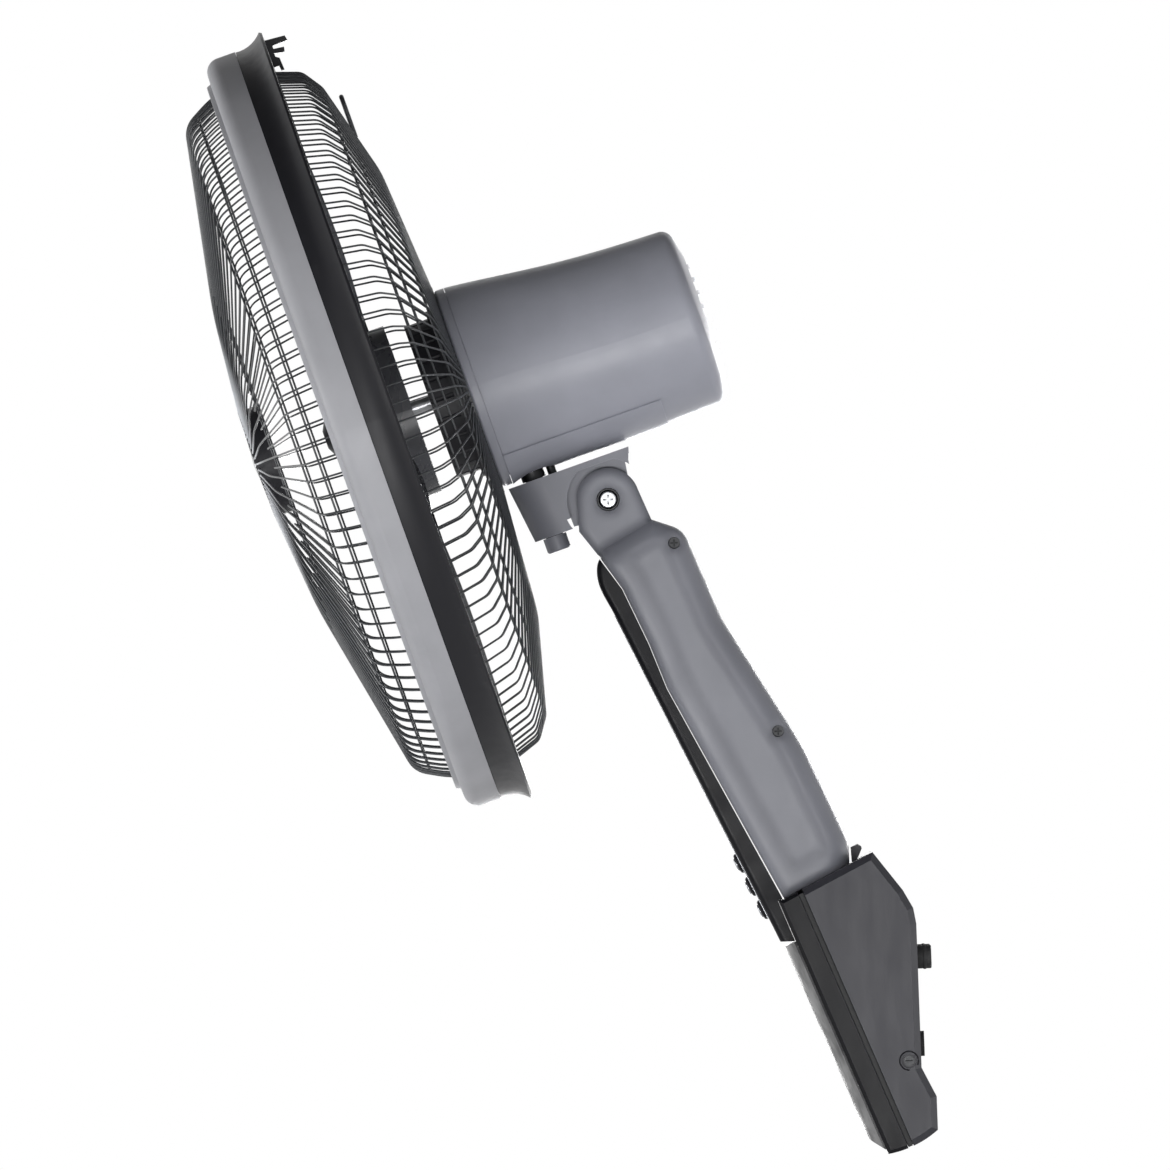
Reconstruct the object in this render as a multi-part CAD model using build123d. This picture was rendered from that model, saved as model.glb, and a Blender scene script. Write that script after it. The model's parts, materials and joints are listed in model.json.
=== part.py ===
"""Wall mounted fan: a wall base with a leaning arm, a tilting neck, a swinging head with a
wire guard, and a bladed rotor.

Row frame, millimetres: the wall is the plane Y = 0, the room is on the -Y side, Z is up and
X = 0 is the middle of the fan. The origin is the centre of the four wall screws.

Head frame: origin in the middle of the clamp ring, z forward along the fan axis, x across,
y up across the axis. Neck, head and rotor are drawn there and then placed.
"""

from build123d import *
from math import cos, hypot, radians, sin, sqrt
import os

# ---------------------------------------------------------------- driving dimensions
# Placing of the head and the tilt hinge
FAN_DROP = 17.5             # the fan axis points this many degrees below the horizontal
FAN_Y = -299.8
FAN_Z = 350.2
TILT_Y = -169.9
TILT_Z = 303.3

# General clearances
RUN = 0.05                  # running fit, on the radius
FIT = 0.3                   # pieces that lie beside each other
SEAT = 0.02                 # pieces pressed home, on the radius

# Clamp ring
RING_R = 220.0              # outer radius of the front half
RING_TIP_R = RING_R + 5.8   # flared rear edge
RING_SEAM = 2.0
RING_FRONT = 20.8
RING_REAR = -15.4
RING_WALL = 2.4
RING_TONGUE = 5.0
LIP_R = RING_R - 15.0       # inner edge of both lips
RING_BEAD = 2.7             # rim round the front lip, proud of it

# Wire guards
WIRE_COUNT = 120
WIRE_R = 0.55
RING_WIRE_R = 0.6
RIM_WIRE_R = 2.0
RIM_R = RING_R - 2 * RING_WALL - FIT - RIM_WIRE_R - 0.1
FRONT_RIM_Z = 9.6
REAR_RIM_Z = -7.6
WELD_GAP = 0.05             # wires lie this close on the rings that carry them
SHOULDER_R = LIP_R - 1.7    # where the wires turn out of the clamp ring
FRONT_SIDE_R, FRONT_SIDE_Z = SHOULDER_R - 4.5, 26.0
FRONT_CORNER_R, FRONT_CORNER_Z = SHOULDER_R - 13.3, 42.0
FRONT_KNEE_R, FRONT_KNEE_Z = 87.0, 62.0
FRONT_APEX = 69.0           # height of the middle of the front guard
FRONT_RING_RADII = (SHOULDER_R - 9.1, SHOULDER_R - 25.3, 110.0)
SHORT_WIRE_R = 107.5        # every second front wire ends here
REAR_SIDE_R, REAR_SIDE_Z = SHOULDER_R - 6.5, -29.0
REAR_CORNER_R, REAR_CORNER_Z = SHOULDER_R - 18.3, -37.0
REAR_FLAT_R, REAR_FLAT_Z = 130.0, -51.6
REAR_HUB_Z = -56.4
REAR_RING_RADII = (SHOULDER_R - 25.0, SHOULDER_R - 46.3, 124.0, 92.0, 66.0)
SHOULDER_BEND = 3.5
FRONT_BENDS = (SHOULDER_BEND, 50.0, 14.0)
KNEE_BEND = 200.0
REAR_BENDS = (SHOULDER_BEND, 8.0, 12.0, 60.0)
HOOK_WIRE_R = 1.3

# Centre of the front guard
DISC_R = 31.0
DISC_REAR = 56.6
DISC_FRONT = 64.3
DISC_EDGE_Z = 67.3          # height of the wires where they meet the disc
DISC_STEP = 1.2
DISC_WALL = 2.0
SPOKE_COUNT = 30
SPOKE_WIDTH = 1.3
CAP_R = 8.0

# Rotor
SHAFT_R = 4.0
SHAFT_REAR = -172.0
SHAFT_FRONT = 24.0
HUB_R = 49.0
HUB_REAR = -24.4
HUB_FRONT = 12.0
HUB_WALL = 2.6
BLADE_COUNT = 5
BLADE_R = SHOULDER_R - 14.3
BLADE_THICK = 2.2
SPINNER_R = 14.0

# Motor
COLLAR_R = 57.6
COLLAR_FRONT = -57.2
COLLAR_SEAM = -62.8
COVER_BOTTOM = -55.0
COVER_REAR = -190.8         # edge of the domed rear face
COVER_DOME_R = 190.0
COVER_WALL = 2.2
BELLY_THICK = 0.9           # raised panel round the underside of the cover
BELLY_TOP = -41.5
BELLY_REAR = -155.5
VENT_COUNT = 8
VENT_PITCH = 7.8
VENT_DEPTH = 2.5
VENT_R = 33.0               # round field of the vent slots
STATOR_R = 43.0
STATOR_FRONT, STATOR_REAR = -84.0, -116.0
TIE_AT_R = 39.6              # circle of the four tie screws
TIE_R = 1.6
COIL_R = 36.8
CASE_FLOOR = COVER_BOTTOM + COVER_WALL + 0.4
SWING_DEPTH = 3.0
ROTOR_CORE_R = 22.2
AIR_GAP = 0.4
NUT_R = 48.5
NUT_FRONT = -35.0
GUARD_PLATE_R = 60.5
GUARD_PLATE_THICK = 1.4
BRACKET_FRONT = (-76.5, -70.0)
BRACKET_REAR = (-134.0, -128.0)
CASE_SCREWS_AT = (-12.5, 12.5)
CASE_SCREW_Y = -48.0
BEARING_R = 11.0
DRIVE_AT_Z = -106.0
DRIVE_R = 15.2

# Neck and pan pivot
PAN_Z = -75.0               # the pan axis crosses the fan axis this far behind the ring
PAN_COLLAR_R = 6.8
PAN_PIN_R = 5.0
PAN_BUSH_R = 7.0
BRACKET_TOP = -59.8
BRACKET_FOOT = -92.6
BRACKET_HALF = 20.0
BRACKET_ROUND = 18.0
TONGUE_HALF = 13.0
TILT_BOLT_R = 3.0
EAR_R = 17.5
EAR_HALF = 18.0
EAR_RECESS_R = 23.0         # hollow in the bracket's cheeks round the arm's ears
CHIN_RECESS_R = 25.4        # the same hollow at its lower end, clear of the ears' corners
RETAINER_R = 6.7
RETAINER_FOOT = -101.4
DRIVE_PIN_Z = -85.7
DRIVE_PIN_R = 2.5
SWING_HOLE_R = 14.2         # opening under the motor round the pan pin and the drive pin

# Arm
ARM_LEAN = 26.06            # the arm's straight front leans this far from the vertical
ARM_HALF = 28.0
ARM_EDGE = 13.0             # rounding of the arm's sides towards its back and its top
ARM_FRONT_EDGE = 5.0        # the same towards the front cover
ARM_WALL = 2.4
COVER_HALF = ARM_HALF - ARM_FRONT_EDGE + 0.6
ARM_COVER_WALL = 1.8
TRIM_HALF = 12.0
TRIM_THICK = 1.2
BUTTON_R = 3.6
BUTTON_PITCH = 14.4
BUTTON_PROUD = 2.4
BUTTON_TRAVEL = 1.5
BUTTON_COLLAR_R = 4.4
FRONT_TOP = (-168.4, 238.7)         # upper end of the arm's straight front
FRONT_FOOT = (-86.7, 62.0)          # lower end of it, in front of the base's top corner
ARM_EAR_LEFT = (-186.6, 286.0)
ARM_NECK = (-177.6, 274.1)
ARM_SHOULDER = (-146.1, 291.3)
EAR_IN_ARM = ((-176.9, 273.0), (-158.0, 256.0), (-136.0, 272.0), (-145.9, 290.4))
ARM_BACK = ((-128.8, 285.0), (-108.6, 233.7), (-66.5, 161.6), (-43.5, 108.5))
ARM_BACK_BENDS = (15.0, 60.0, 120.0, 15.0)
ARM_FOOT_Y = -43.2
ARM_SEAM = ((-163.6, 253.3), (-150.0, 222.3), (-140.8, 197.1), (-81.6, 80.4))
ROOT_MIDDLE_Y = -61.5
ROOT_THICK = 30.0
ROOT_DEPTH = 34.0
ROOT_HALF = 22.0
ROOT_SCREWS_AT = (12.0, 26.0)
SPINE_THICK = 3.0
SPINE_HALF = 12.0
ARM_SCREWS_AT = ((-134.2, 277.9), (-80.3, 171.4))
SPINE_SCREWS_AT = (30.0, 44.0)

# Base
BASE_HALF = 58.0
BASE_WALL = 2.6
FRAME_DEPTH = 11.4
GROOVE = 3.3
FASCIA_HALF = 52.0
FASCIA_PROUD = 6.7
FASCIA_SWELL_R = 250.0
REAR_FACE_Y = -7.8
SCREW_X = 35.0
SCREW_Z = 43.4
SCREW_HOLE_R = 2.75
BUSH_R = 6.5
PLATE_THICK = 2.0
BASE_FRONT_TOP = (-83.5, 76.8)      # upper front corner of the base box
BASE_CHIN = (-27.8, -65.0)          # lower front corner of the base box
BASE_TOP_BACK = (-30.7, 102.6)
LOCK_SCREW_AT = (-14.6, -13.7)
INLET_R = 6.0
INLET_Z = -5.0
BOARD_Y = -20.0
BOARD_THICK = 1.6
POST_R = 2.6

os.makedirs("parts", exist_ok=True)
HEAD = Plane(
    origin=(0, FAN_Y, FAN_Z),
    x_dir=(1, 0, 0),
    z_dir=(0, -cos(radians(FAN_DROP)), -sin(radians(FAN_DROP))),
).location


# ---------------------------------------------------------------- drawing helpers
def outline(*points):
    """A closed flat face through the points."""
    return make_face(Polyline(*points, close=True))


def side_block(face, x_low, x_high):
    """A face drawn in the side plane (Y, Z), thick from x_low to x_high."""
    return extrude(Plane.YZ.offset(x_low) * face, amount=x_high - x_low)


def turned(face):
    """A face drawn as (radius, z), turned about the z axis."""
    return revolve(Plane.XZ * face, Axis.Z)


def along_x(radius, x_low, x_high, y, z):
    return Pos((x_low + x_high) / 2, y, z) * Rot(0, 90, 0) * Cylinder(radius, x_high - x_low)


def along_y(radius, y_low, y_high, x, z):
    return Pos(x, (y_low + y_high) / 2, z) * Rot(90, 0, 0) * Cylinder(radius, y_high - y_low)


def along_z(radius, z_low, z_high, x=0, y=0):
    return Pos(x, y, (z_low + z_high) / 2) * Cylinder(radius, z_high - z_low)


def box_between(low, high):
    size = [b - a for a, b in zip(low, high)]
    middle = [(a + b) / 2 for a, b in zip(low, high)]
    return Pos(*middle) * Box(*size)


def turned_copies(shape, count, start=0.0):
    return [Rot(0, 0, start + 360 / count * i) * shape for i in range(count)]


def group(shapes):
    """Separate solids in one node."""
    solids = [solid for shape in shapes for solid in shape.solids()]
    return Compound(solids)


# ---------------------------------------------------------------- wire guards
def cone_z(radius):
    """Height of the front guard at a radius, from its apex to its corner."""
    stations = (
        (0.0, FRONT_APEX), (DISC_R, DISC_EDGE_Z), (FRONT_KNEE_R, FRONT_KNEE_Z), (FRONT_CORNER_R, FRONT_CORNER_Z)
    )
    for (r0, z0), (r1, z1) in zip(stations, stations[1:]):
        if radius <= r1:
            break
    return z0 + (z1 - z0) * (radius - r0) / (r1 - r0)


RIM_STEP = RIM_WIRE_R + WIRE_R + WELD_GAP
FRONT_PATH = (
    (RIM_R + 0.5, FRONT_RIM_Z + RIM_STEP),
    (SHOULDER_R, FRONT_RIM_Z + RIM_STEP),
    (FRONT_SIDE_R, FRONT_SIDE_Z),
    (FRONT_CORNER_R, FRONT_CORNER_Z),
)
REAR_PATH = (
    (RIM_R + 0.5, REAR_RIM_Z - RIM_STEP),
    (SHOULDER_R, REAR_RIM_Z - RIM_STEP),
    (REAR_SIDE_R, REAR_SIDE_Z),
    (REAR_CORNER_R, REAR_CORNER_Z),
    (REAR_FLAT_R, REAR_FLAT_Z),
    (GUARD_PLATE_R + WELD_GAP, REAR_HUB_Z),
)


def bent_wire(points, radii):
    """One guard wire along (radius, z) points, with an arc at each bend."""
    path = FilletPolyline(*[(r, 0, z) for r, z in points], radius=list(radii))
    return sweep(Plane(origin=path @ 0, z_dir=path % 0) * Circle(WIRE_R), path=path)


def ring_centre(points, radius, wire_r, side):
    """Middle of the section of a wire ring that lies on the wires at a radius."""
    for (r0, z0), (r1, z1) in zip(points, points[1:]):
        if r1 <= radius <= r0:
            break
    run = hypot(r1 - r0, z1 - z0)
    z = z0 + (z1 - z0) * (r0 - radius) / (r0 - r1)
    off = side * (WIRE_R + wire_r + WELD_GAP)
    return (radius + off * (z1 - z0) / run, z - off * (r1 - r0) / run)


def ring_on(points, radius, wire_r, side):
    """A wire ring that carries the wires at a radius, on the side given by side."""
    return turned(Pos(*ring_centre(points, radius, wire_r, side)) * Circle(wire_r))


def front_guard():
    end_r = DISC_R + WELD_GAP + 0.1
    knee = (FRONT_KNEE_R, FRONT_KNEE_Z)
    long_wire = bent_wire((*FRONT_PATH, knee, (end_r, cone_z(end_r))), (*FRONT_BENDS, KNEE_BEND))
    short_wire = bent_wire((*FRONT_PATH, (SHORT_WIRE_R, cone_z(SHORT_WIRE_R))), FRONT_BENDS)
    half = WIRE_COUNT // 2
    wires = turned_copies(long_wire, half) + turned_copies(short_wire, half, 360 / WIRE_COUNT)
    cone = (*FRONT_PATH[1:], knee, (end_r, cone_z(end_r)))
    rings = [ring_on(cone, r, RING_WIRE_R, -1) for r in FRONT_RING_RADII]
    rings.append(turned(Pos(RIM_R, FRONT_RIM_Z) * Circle(RIM_WIRE_R)))
    return group(wires), group(rings)


def rear_guard():
    wire = bent_wire(REAR_PATH, REAR_BENDS)
    wires = turned_copies(wire, WIRE_COUNT, 180 / WIRE_COUNT)
    rings = [ring_on(REAR_PATH[1:], r, RING_WIRE_R, 1) for r in REAR_RING_RADII]
    rings.append(turned(Pos(RIM_R, REAR_RIM_Z) * Circle(RIM_WIRE_R)))
    return group(wires), group(rings)


def clamp_ring_front():
    inner_r = RING_R - RING_WALL
    seat_r = inner_r - FIT - RING_WALL
    shoulder_z = RING_SEAM + RING_TONGUE + FIT
    face = outline(
        (RING_R, RING_SEAM + FIT / 2),
        (RING_R, RING_FRONT),
        (LIP_R + RING_BEAD, RING_FRONT),
        (LIP_R + 0.6 * RING_BEAD, RING_FRONT + RING_BEAD),
        (LIP_R, RING_FRONT + RING_BEAD),
        (LIP_R, RING_FRONT - RING_WALL),
        (seat_r, RING_FRONT - RING_WALL),
        (seat_r, shoulder_z),
        (inner_r, shoulder_z),
        (inner_r, RING_SEAM + FIT / 2),
    )
    crown = face.vertices().sort_by_distance((RING_R, RING_FRONT))[0]
    face = fillet(crown, 8.0)
    bead = face.vertices().sort_by_distance((LIP_R + 0.3 * RING_BEAD, RING_FRONT + RING_BEAD))[:2]
    return turned(fillet(bead, 0.25 * RING_BEAD))


def clamp_ring_rear():
    tongue_r = RING_R - RING_WALL - FIT
    inner_r = tongue_r - RING_WALL
    top = RING_SEAM - FIT / 2
    flare = ThreePointArc(
        (RING_R - 0.4, top), (RING_R + 0.8, -7.0), (RING_TIP_R, RING_REAR + 1.4)
    )
    rest = Polyline(
        (RING_TIP_R, RING_REAR + 1.4),
        (RING_TIP_R - 0.8, RING_REAR),
        (LIP_R, RING_REAR),
        (LIP_R, RING_REAR + RING_WALL),
        (inner_r, RING_REAR + RING_WALL),
        (inner_r, RING_SEAM + RING_TONGUE),
        (tongue_r, RING_SEAM + RING_TONGUE),
        (tongue_r, top),
        (RING_R - 0.4, top),
    )
    return turned(make_face(flare + rest))


def centre_disc():
    """Black cup in the middle of the front wires, its rim stepped down to the face."""
    face = outline(
        (0, DISC_FRONT),
        (DISC_R - 3 * DISC_STEP, DISC_FRONT),
        (DISC_R - 3 * DISC_STEP, DISC_FRONT + DISC_STEP),
        (DISC_R - 2 * DISC_STEP, DISC_FRONT + DISC_STEP),
        (DISC_R - 2 * DISC_STEP, DISC_FRONT + 2 * DISC_STEP),
        (DISC_R - DISC_STEP, DISC_FRONT + 2 * DISC_STEP),
        (DISC_R - DISC_STEP, DISC_FRONT + 3 * DISC_STEP),
        (DISC_R, DISC_FRONT + 3 * DISC_STEP),
        (DISC_R, DISC_REAR),
        (DISC_R - DISC_WALL, DISC_REAR),
        (DISC_R - DISC_WALL, DISC_FRONT - DISC_WALL),
        (0, DISC_FRONT - DISC_WALL),
    )
    return turned(face)


def centre_cap():
    """Bright cap whose spokes run out over the disc to its stepped rim."""
    low = DISC_FRONT + SEAT
    crown = cone_z(0) + 0.4
    dome = turned(
        make_face(
            Polyline((CAP_R, cone_z(CAP_R)), (CAP_R, low), (0, low), (0, crown))
            + ThreePointArc((0, crown), (CAP_R / 2, crown - 0.3), (CAP_R, cone_z(CAP_R)))
        )
    )
    in_r = DISC_R - 3 * DISC_STEP - SEAT
    tip_r = in_r + 2 * DISC_STEP
    rib_face = outline(
        (CAP_R / 2, low),
        (CAP_R / 2, cone_z(CAP_R / 2)),
        (tip_r, cone_z(tip_r) + 0.3),
        (tip_r, low + 2 * DISC_STEP),
        (in_r + DISC_STEP, low + 2 * DISC_STEP),
        (in_r + DISC_STEP, low + DISC_STEP),
        (in_r, low + DISC_STEP),
        (in_r, low),
    )
    rib = extrude(Plane.XZ * rib_face, amount=SPOKE_WIDTH / 2, both=True)
    return dome + turned_copies(rib, SPOKE_COUNT)


def guard_hook():
    """Wire loop welded on a ring at the back of the rear guard, at the top."""
    half = 8.0
    ring_r, ring_z = ring_centre(REAR_PATH[1:], REAR_RING_RADII[1], RING_WIRE_R, 1)
    low, high = ring_r - 4.0, ring_r + 20.0
    z = ring_z - RING_WIRE_R - HOOK_WIRE_R - WELD_GAP
    path = FilletPolyline(
        (-half, low, z), (-half, high, z), (half, high, z), (half, low, z), radius=half - 1.0
    )
    return sweep(Plane(origin=path @ 0, z_dir=path % 0) * Circle(HOOK_WIRE_R), path=path)


def guard_clip():
    """Snap clip that locks the two halves of the clamp ring, at the top."""
    half = 6.0
    z0 = RING_REAR - SEAT
    shape = (
        (-15.4, 0), (-15.4, -3.0), (-18.4, -3.4), (-18.4, -5.2), (-11.4, -4.8), (-10.0, -2.8), (-8.0, -2.8),
        (-9.2, -8.6), (-6.4, -9.2), (-5.6, -3.2), (-3.8, -3.2), (-3.6, -12.2), (-0.6, -11.6), (0.4, 0),
    )
    face = outline(*[(RING_R + r, z0 + z) for r, z in shape])
    return extrude(Plane.YZ * face, amount=half, both=True)


# ---------------------------------------------------------------- rotor
def blade():
    """One blade: pitched, cambered sections lofted outwards, cut to a rounded outline."""
    stations = ((HUB_R - 4, 46.0, 36.0), (90.0, 80.0, 25.0), (140.0, 108.0, 18.0), (192.0, 124.0, 14.0))
    sections = []
    for radius, chord, pitch in stations:
        half, sag = chord / 2, chord * 0.06
        camber = ThreePointArc((-half, 0), (0, sag), (half, 0))
        back = ThreePointArc((half, -BLADE_THICK), (0, sag - BLADE_THICK), (-half, -BLADE_THICK))
        ends = Line((half, 0), (half, -BLADE_THICK)) + Line((-half, -BLADE_THICK), (-half, 0))
        face = make_face(camber + back + ends)
        place = Plane(origin=(radius, 0, 2.0), x_dir=(0, 1, 0), z_dir=(1, 0, 0))
        sections.append(place * Rot(0, 0, pitch) * face)
    sheet = loft(sections)
    plan = make_face(
        Spline((HUB_R - 4, -20), (110, -46), (168, -58), (186, -30), tangents=[(1, -0.5), (0, 1)])
        + ThreePointArc((186, -30), (BLADE_R, 0), (184, 38))
        + Spline((184, 38), (160, 50), (100, 30), (HUB_R - 4, 20), tangents=[(-1, 1), (-1, -0.2)])
        + Line((HUB_R - 4, 20), (HUB_R - 4, -20))
    )
    return sheet & extrude(Pos(0, 0, -60) * plan, amount=120)


def fan_blade():
    rim = turned(
        fillet(
            outline(
                (SHAFT_R + SEAT, HUB_FRONT), (HUB_R, HUB_FRONT), (HUB_R, HUB_REAR),
                (HUB_R - HUB_WALL, HUB_REAR), (HUB_R - HUB_WALL, HUB_FRONT - HUB_WALL),
                (9.0, HUB_FRONT - HUB_WALL), (9.0, HUB_REAR + 2), (SHAFT_R + SEAT, HUB_REAR + 2),
            ).vertices().sort_by_distance((HUB_R, HUB_FRONT))[0],
            6.0,
        )
    )
    inside = along_z(HUB_R - HUB_WALL / 2, HUB_REAR - 1, HUB_FRONT - HUB_WALL)
    blades = [piece - inside for piece in turned_copies(blade(), BLADE_COUNT)]
    ribs = [
        piece - along_z(SHAFT_R + SEAT, HUB_REAR, HUB_FRONT)
        for piece in turned_copies(
            box_between((8.5, -1.1, HUB_REAR + 8), (HUB_R - HUB_WALL + 0.4, 1.1, HUB_FRONT - 1)), 5, 36
        )
    ]
    return rim + blades + ribs


def blade_nut():
    """Dome nut that holds the blade on the shaft."""
    low = HUB_FRONT + SEAT
    face = outline(
        (SHAFT_R + SEAT, low), (SPINNER_R, low), (SPINNER_R, low + 7), (11.0, low + 12), (5.0, low + 15),
        (0, low + 15), (0, SHAFT_FRONT + FIT), (SHAFT_R + SEAT, SHAFT_FRONT + FIT),
    )
    face = fillet(face.vertices().sort_by_distance((11.0, low + 12))[0], 4.0)
    grips = turned_copies(along_z(1.2, low - 1, low + 6, SPINNER_R + 0.5), 12)
    return turned(face) - grips


# ---------------------------------------------------------------- motor
def cover_sections(grow):
    """Stations of the rear cover: z, top and bottom heights, each drawn in by grow."""
    stations = (
        (COLLAR_SEAM - FIT, COLLAR_R, -COLLAR_R),
        (-92.0, 54.2, COVER_BOTTOM),
        (-118.0, 51.0, COVER_BOTTOM),
        (-150.0, 48.3, COVER_BOTTOM + 0.2),
        (COVER_REAR, 46.2, COVER_BOTTOM + 0.8),
    )
    return [(z, (top + low) / 2, (top - low) / 2 - grow) for z, top, low in stations]


COVER_FAR = COVER_REAR - 12.0


def cover_body(grow):
    """Solid of the rear cover, drawn in by grow, that runs on behind its domed end."""
    stations = cover_sections(grow)
    stations[-1] = (COVER_FAR, *stations[-1][1:])
    return loft([Pos(0, y, z) * Circle(r) for z, y, r in stations])


COVER_MIDDLE = cover_sections(0)[-1][1]
COVER_SCREWS_AT = (COVER_MIDDLE + 38.0, COVER_MIDDLE - 38.0)
COVER_END_R = cover_sections(0)[-1][2]
DOME_CENTRE_Z = COVER_REAR + sqrt(COVER_DOME_R**2 - COVER_END_R**2)


def dome(depth=0.0):
    """Ball whose surface lies depth inside the domed rear face."""
    return Pos(0, COVER_MIDDLE, DOME_CENTRE_Z) * Rot(90, 0, 0) * Sphere(COVER_DOME_R - depth)


def dome_z(across):
    """Height of the rear face at a distance from its middle."""
    return DOME_CENTRE_Z - sqrt(COVER_DOME_R**2 - across**2)


def tie_copies(shape):
    return turned_copies(Pos(TIE_AT_R, 0, 0) * shape, 4, 45)


def motor_rear_cover():
    edge_r = 7.0
    far = COVER_FAR
    outer = cover_body(0) & dome()
    rim = [e for e in outer.edges() if e.length > 200 and e.center().Z < -150]
    outer = fillet(rim, edge_r)
    inner = cover_body(COVER_WALL) & dome(VENT_DEPTH + COVER_WALL)
    shell = outer - inner
    belly = cover_body(-BELLY_THICK) - cover_body(1.0)
    shell += belly & box_between((-60, -80, BELLY_REAR), (60, BELLY_TOP, COVER_SEAM_Z))
    shell -= along_y(SWING_HOLE_R, -COLLAR_R - 2, -40, 0, PAN_Z)
    field = along_z(VENT_R, far, COVER_REAR + 20, 0, COVER_MIDDLE) - dome(VENT_DEPTH)
    slots = []
    for i in range(VENT_COUNT):
        y = COVER_MIDDLE + (i - (VENT_COUNT - 1) / 2) * VENT_PITCH
        field -= box_between((-60, y - 1.3, far - 1), (60, y + 1.3, COVER_REAR + 30))
        if i:
            y_slot = y - VENT_PITCH / 2
            half = sqrt((VENT_R - 3.0) ** 2 - (y_slot - COVER_MIDDLE) ** 2)
            slots.append(box_between((-half, y_slot - 1.5, far), (half, y_slot + 1.5, COVER_REAR + 8)))
    posts = [along_z(4.0, COVER_SCREW_Z - 0.5, BRACKET_REAR[0] - SEAT, 0, y) for y in COVER_SCREWS_AT]
    sinks = [along_z(3.2, far, COVER_SCREW_Z, 0, y) for y in COVER_SCREWS_AT]
    bores = [along_z(TIE_R + SEAT, far, BRACKET_REAR[0] + 1, 0, y) for y in COVER_SCREWS_AT]
    return shell + posts - field - slots - sinks - bores


COVER_SEAM_Z = COLLAR_SEAM - FIT
COVER_SCREW_Z = dome_z(38.0) + 3.0


def motor_cover_screws():
    """Two long screws from the back of the cover into the rear bracket."""
    screws = []
    for y in COVER_SCREWS_AT:
        low = COVER_SCREW_Z - 1.9
        head = along_z(3.0, low, COVER_SCREW_Z - SEAT, 0, y)
        cross = box_between((-2, y - 0.4, low - 1), (2, y + 0.4, low + 1.1))
        cross += box_between((-0.4, y - 2, low - 1), (0.4, y + 2, low + 1.1))
        screws.append(head - cross + along_z(TIE_R, COVER_SCREW_Z - 0.5, BRACKET_REAR[1] - 1, 0, y))
    return group(screws)


def motor_collar():
    """Front flange of the motor with the threaded boss for the guard nut."""
    skirt_r = COLLAR_R - COVER_WALL - 2 * FIT
    back = COLLAR_FRONT - 3.0
    face = outline(
        (COLLAR_R, COLLAR_SEAM), (COLLAR_R, COLLAR_FRONT), (29.6, COLLAR_FRONT), (29.6, -38.0),
        (24.0, -38.0), (24.0, back), (skirt_r - 2.4, back), (skirt_r - 2.4, COLLAR_SEAM - 3.0),
        (skirt_r, COLLAR_SEAM - 3.0), (skirt_r, COLLAR_SEAM),
    )
    face = fillet(face.vertices().sort_by_distance((COLLAR_R, COLLAR_FRONT))[0], 1.6)
    posts = tie_copies(along_z(4.2, BRACKET_FRONT[1] + SEAT, back + 1))
    pilots = tie_copies(along_z(TIE_R + SEAT, BRACKET_FRONT[1] - 1, COLLAR_FRONT - 1))
    notch = box_between((-19, -60, COLLAR_SEAM - 4), (19, -40, back))
    collar = turned(face) + posts - pilots - (notch & along_z(skirt_r + 0.5, COLLAR_SEAM - 4, back))
    for x in CASE_SCREWS_AT:
        collar -= along_z(TIE_R + SEAT, back - 1, COLLAR_FRONT + 1, x, CASE_SCREW_Y)
        collar -= along_z(3.2, COLLAR_FRONT - 2.0, COLLAR_FRONT + 1, x, CASE_SCREW_Y)
    return collar


def case_screws():
    """Two sunk screws that hold the gear case behind the collar."""
    screws = []
    for x in CASE_SCREWS_AT:
        head = along_z(3.0, COLLAR_FRONT - 2.0 + SEAT, COLLAR_FRONT - 0.3, x, CASE_SCREW_Y)
        shank = along_z(TIE_R, -69.0, COLLAR_FRONT - 2.0 + SEAT, x, CASE_SCREW_Y)
        screws.append(head + shank)
    return group(screws)


def guard_nut():
    """Large plastic nut that clamps the rear guard on the motor, with grip flutes."""
    rear = COLLAR_FRONT + GUARD_PLATE_THICK + 2 * SEAT
    face = outline(
        (29.6 + SEAT, rear), (NUT_R, rear), (NUT_R, rear + 7), (NUT_R - 4, rear + 7),
        (NUT_R - 4, NUT_FRONT), (NUT_R - 7, NUT_FRONT), (NUT_R - 7, rear + 3), (34, rear + 3),
        (34, -37), (29.6 + SEAT, -37),
    )
    flutes = turned_copies(along_z(1.6, rear + 7, NUT_FRONT + 1, NUT_R - 3.2), 24)
    return turned(face) - flutes


def end_bracket(disc_low, disc_high, face_z):
    """Cast cup on one end of the stator: a disc with a bearing bore, air windows and a rim."""
    low, high = min(disc_low, face_z), max(disc_high, face_z)
    cup = along_z(STATOR_R, low, high) - along_z(COIL_R + 1.0, min(disc_high, face_z), max(disc_low, face_z))
    cup -= along_z(BEARING_R + SEAT, low - 1, high + 1)
    window = along_z(6.5, low - 1, high + 1, 24.0)
    bores = tie_copies(along_z(TIE_R + SEAT, low - 1, high + 1))
    return cup - turned_copies(window, 6, 30) - bores


def motor_front_bracket():
    return end_bracket(*BRACKET_FRONT, STATOR_FRONT + SEAT)


def motor_rear_bracket():
    bracket = end_bracket(*BRACKET_REAR, STATOR_REAR - SEAT)
    for y in COVER_SCREWS_AT:
        bracket += along_z(4.0, *BRACKET_REAR, 0, y)
        bracket -= along_z(TIE_R + SEAT, BRACKET_REAR[0] - 1, BRACKET_REAR[1] + 1, 0, y)
    return bracket


def tie_screws():
    """Four long screws through both brackets and the stator into the collar."""
    head = along_z(3.0, BRACKET_REAR[0] - 2.2, BRACKET_REAR[0] - SEAT)
    shank = along_z(TIE_R, BRACKET_REAR[0] - 0.1, COLLAR_FRONT - 1.2)
    return group(tie_copies(head + shank))


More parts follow.
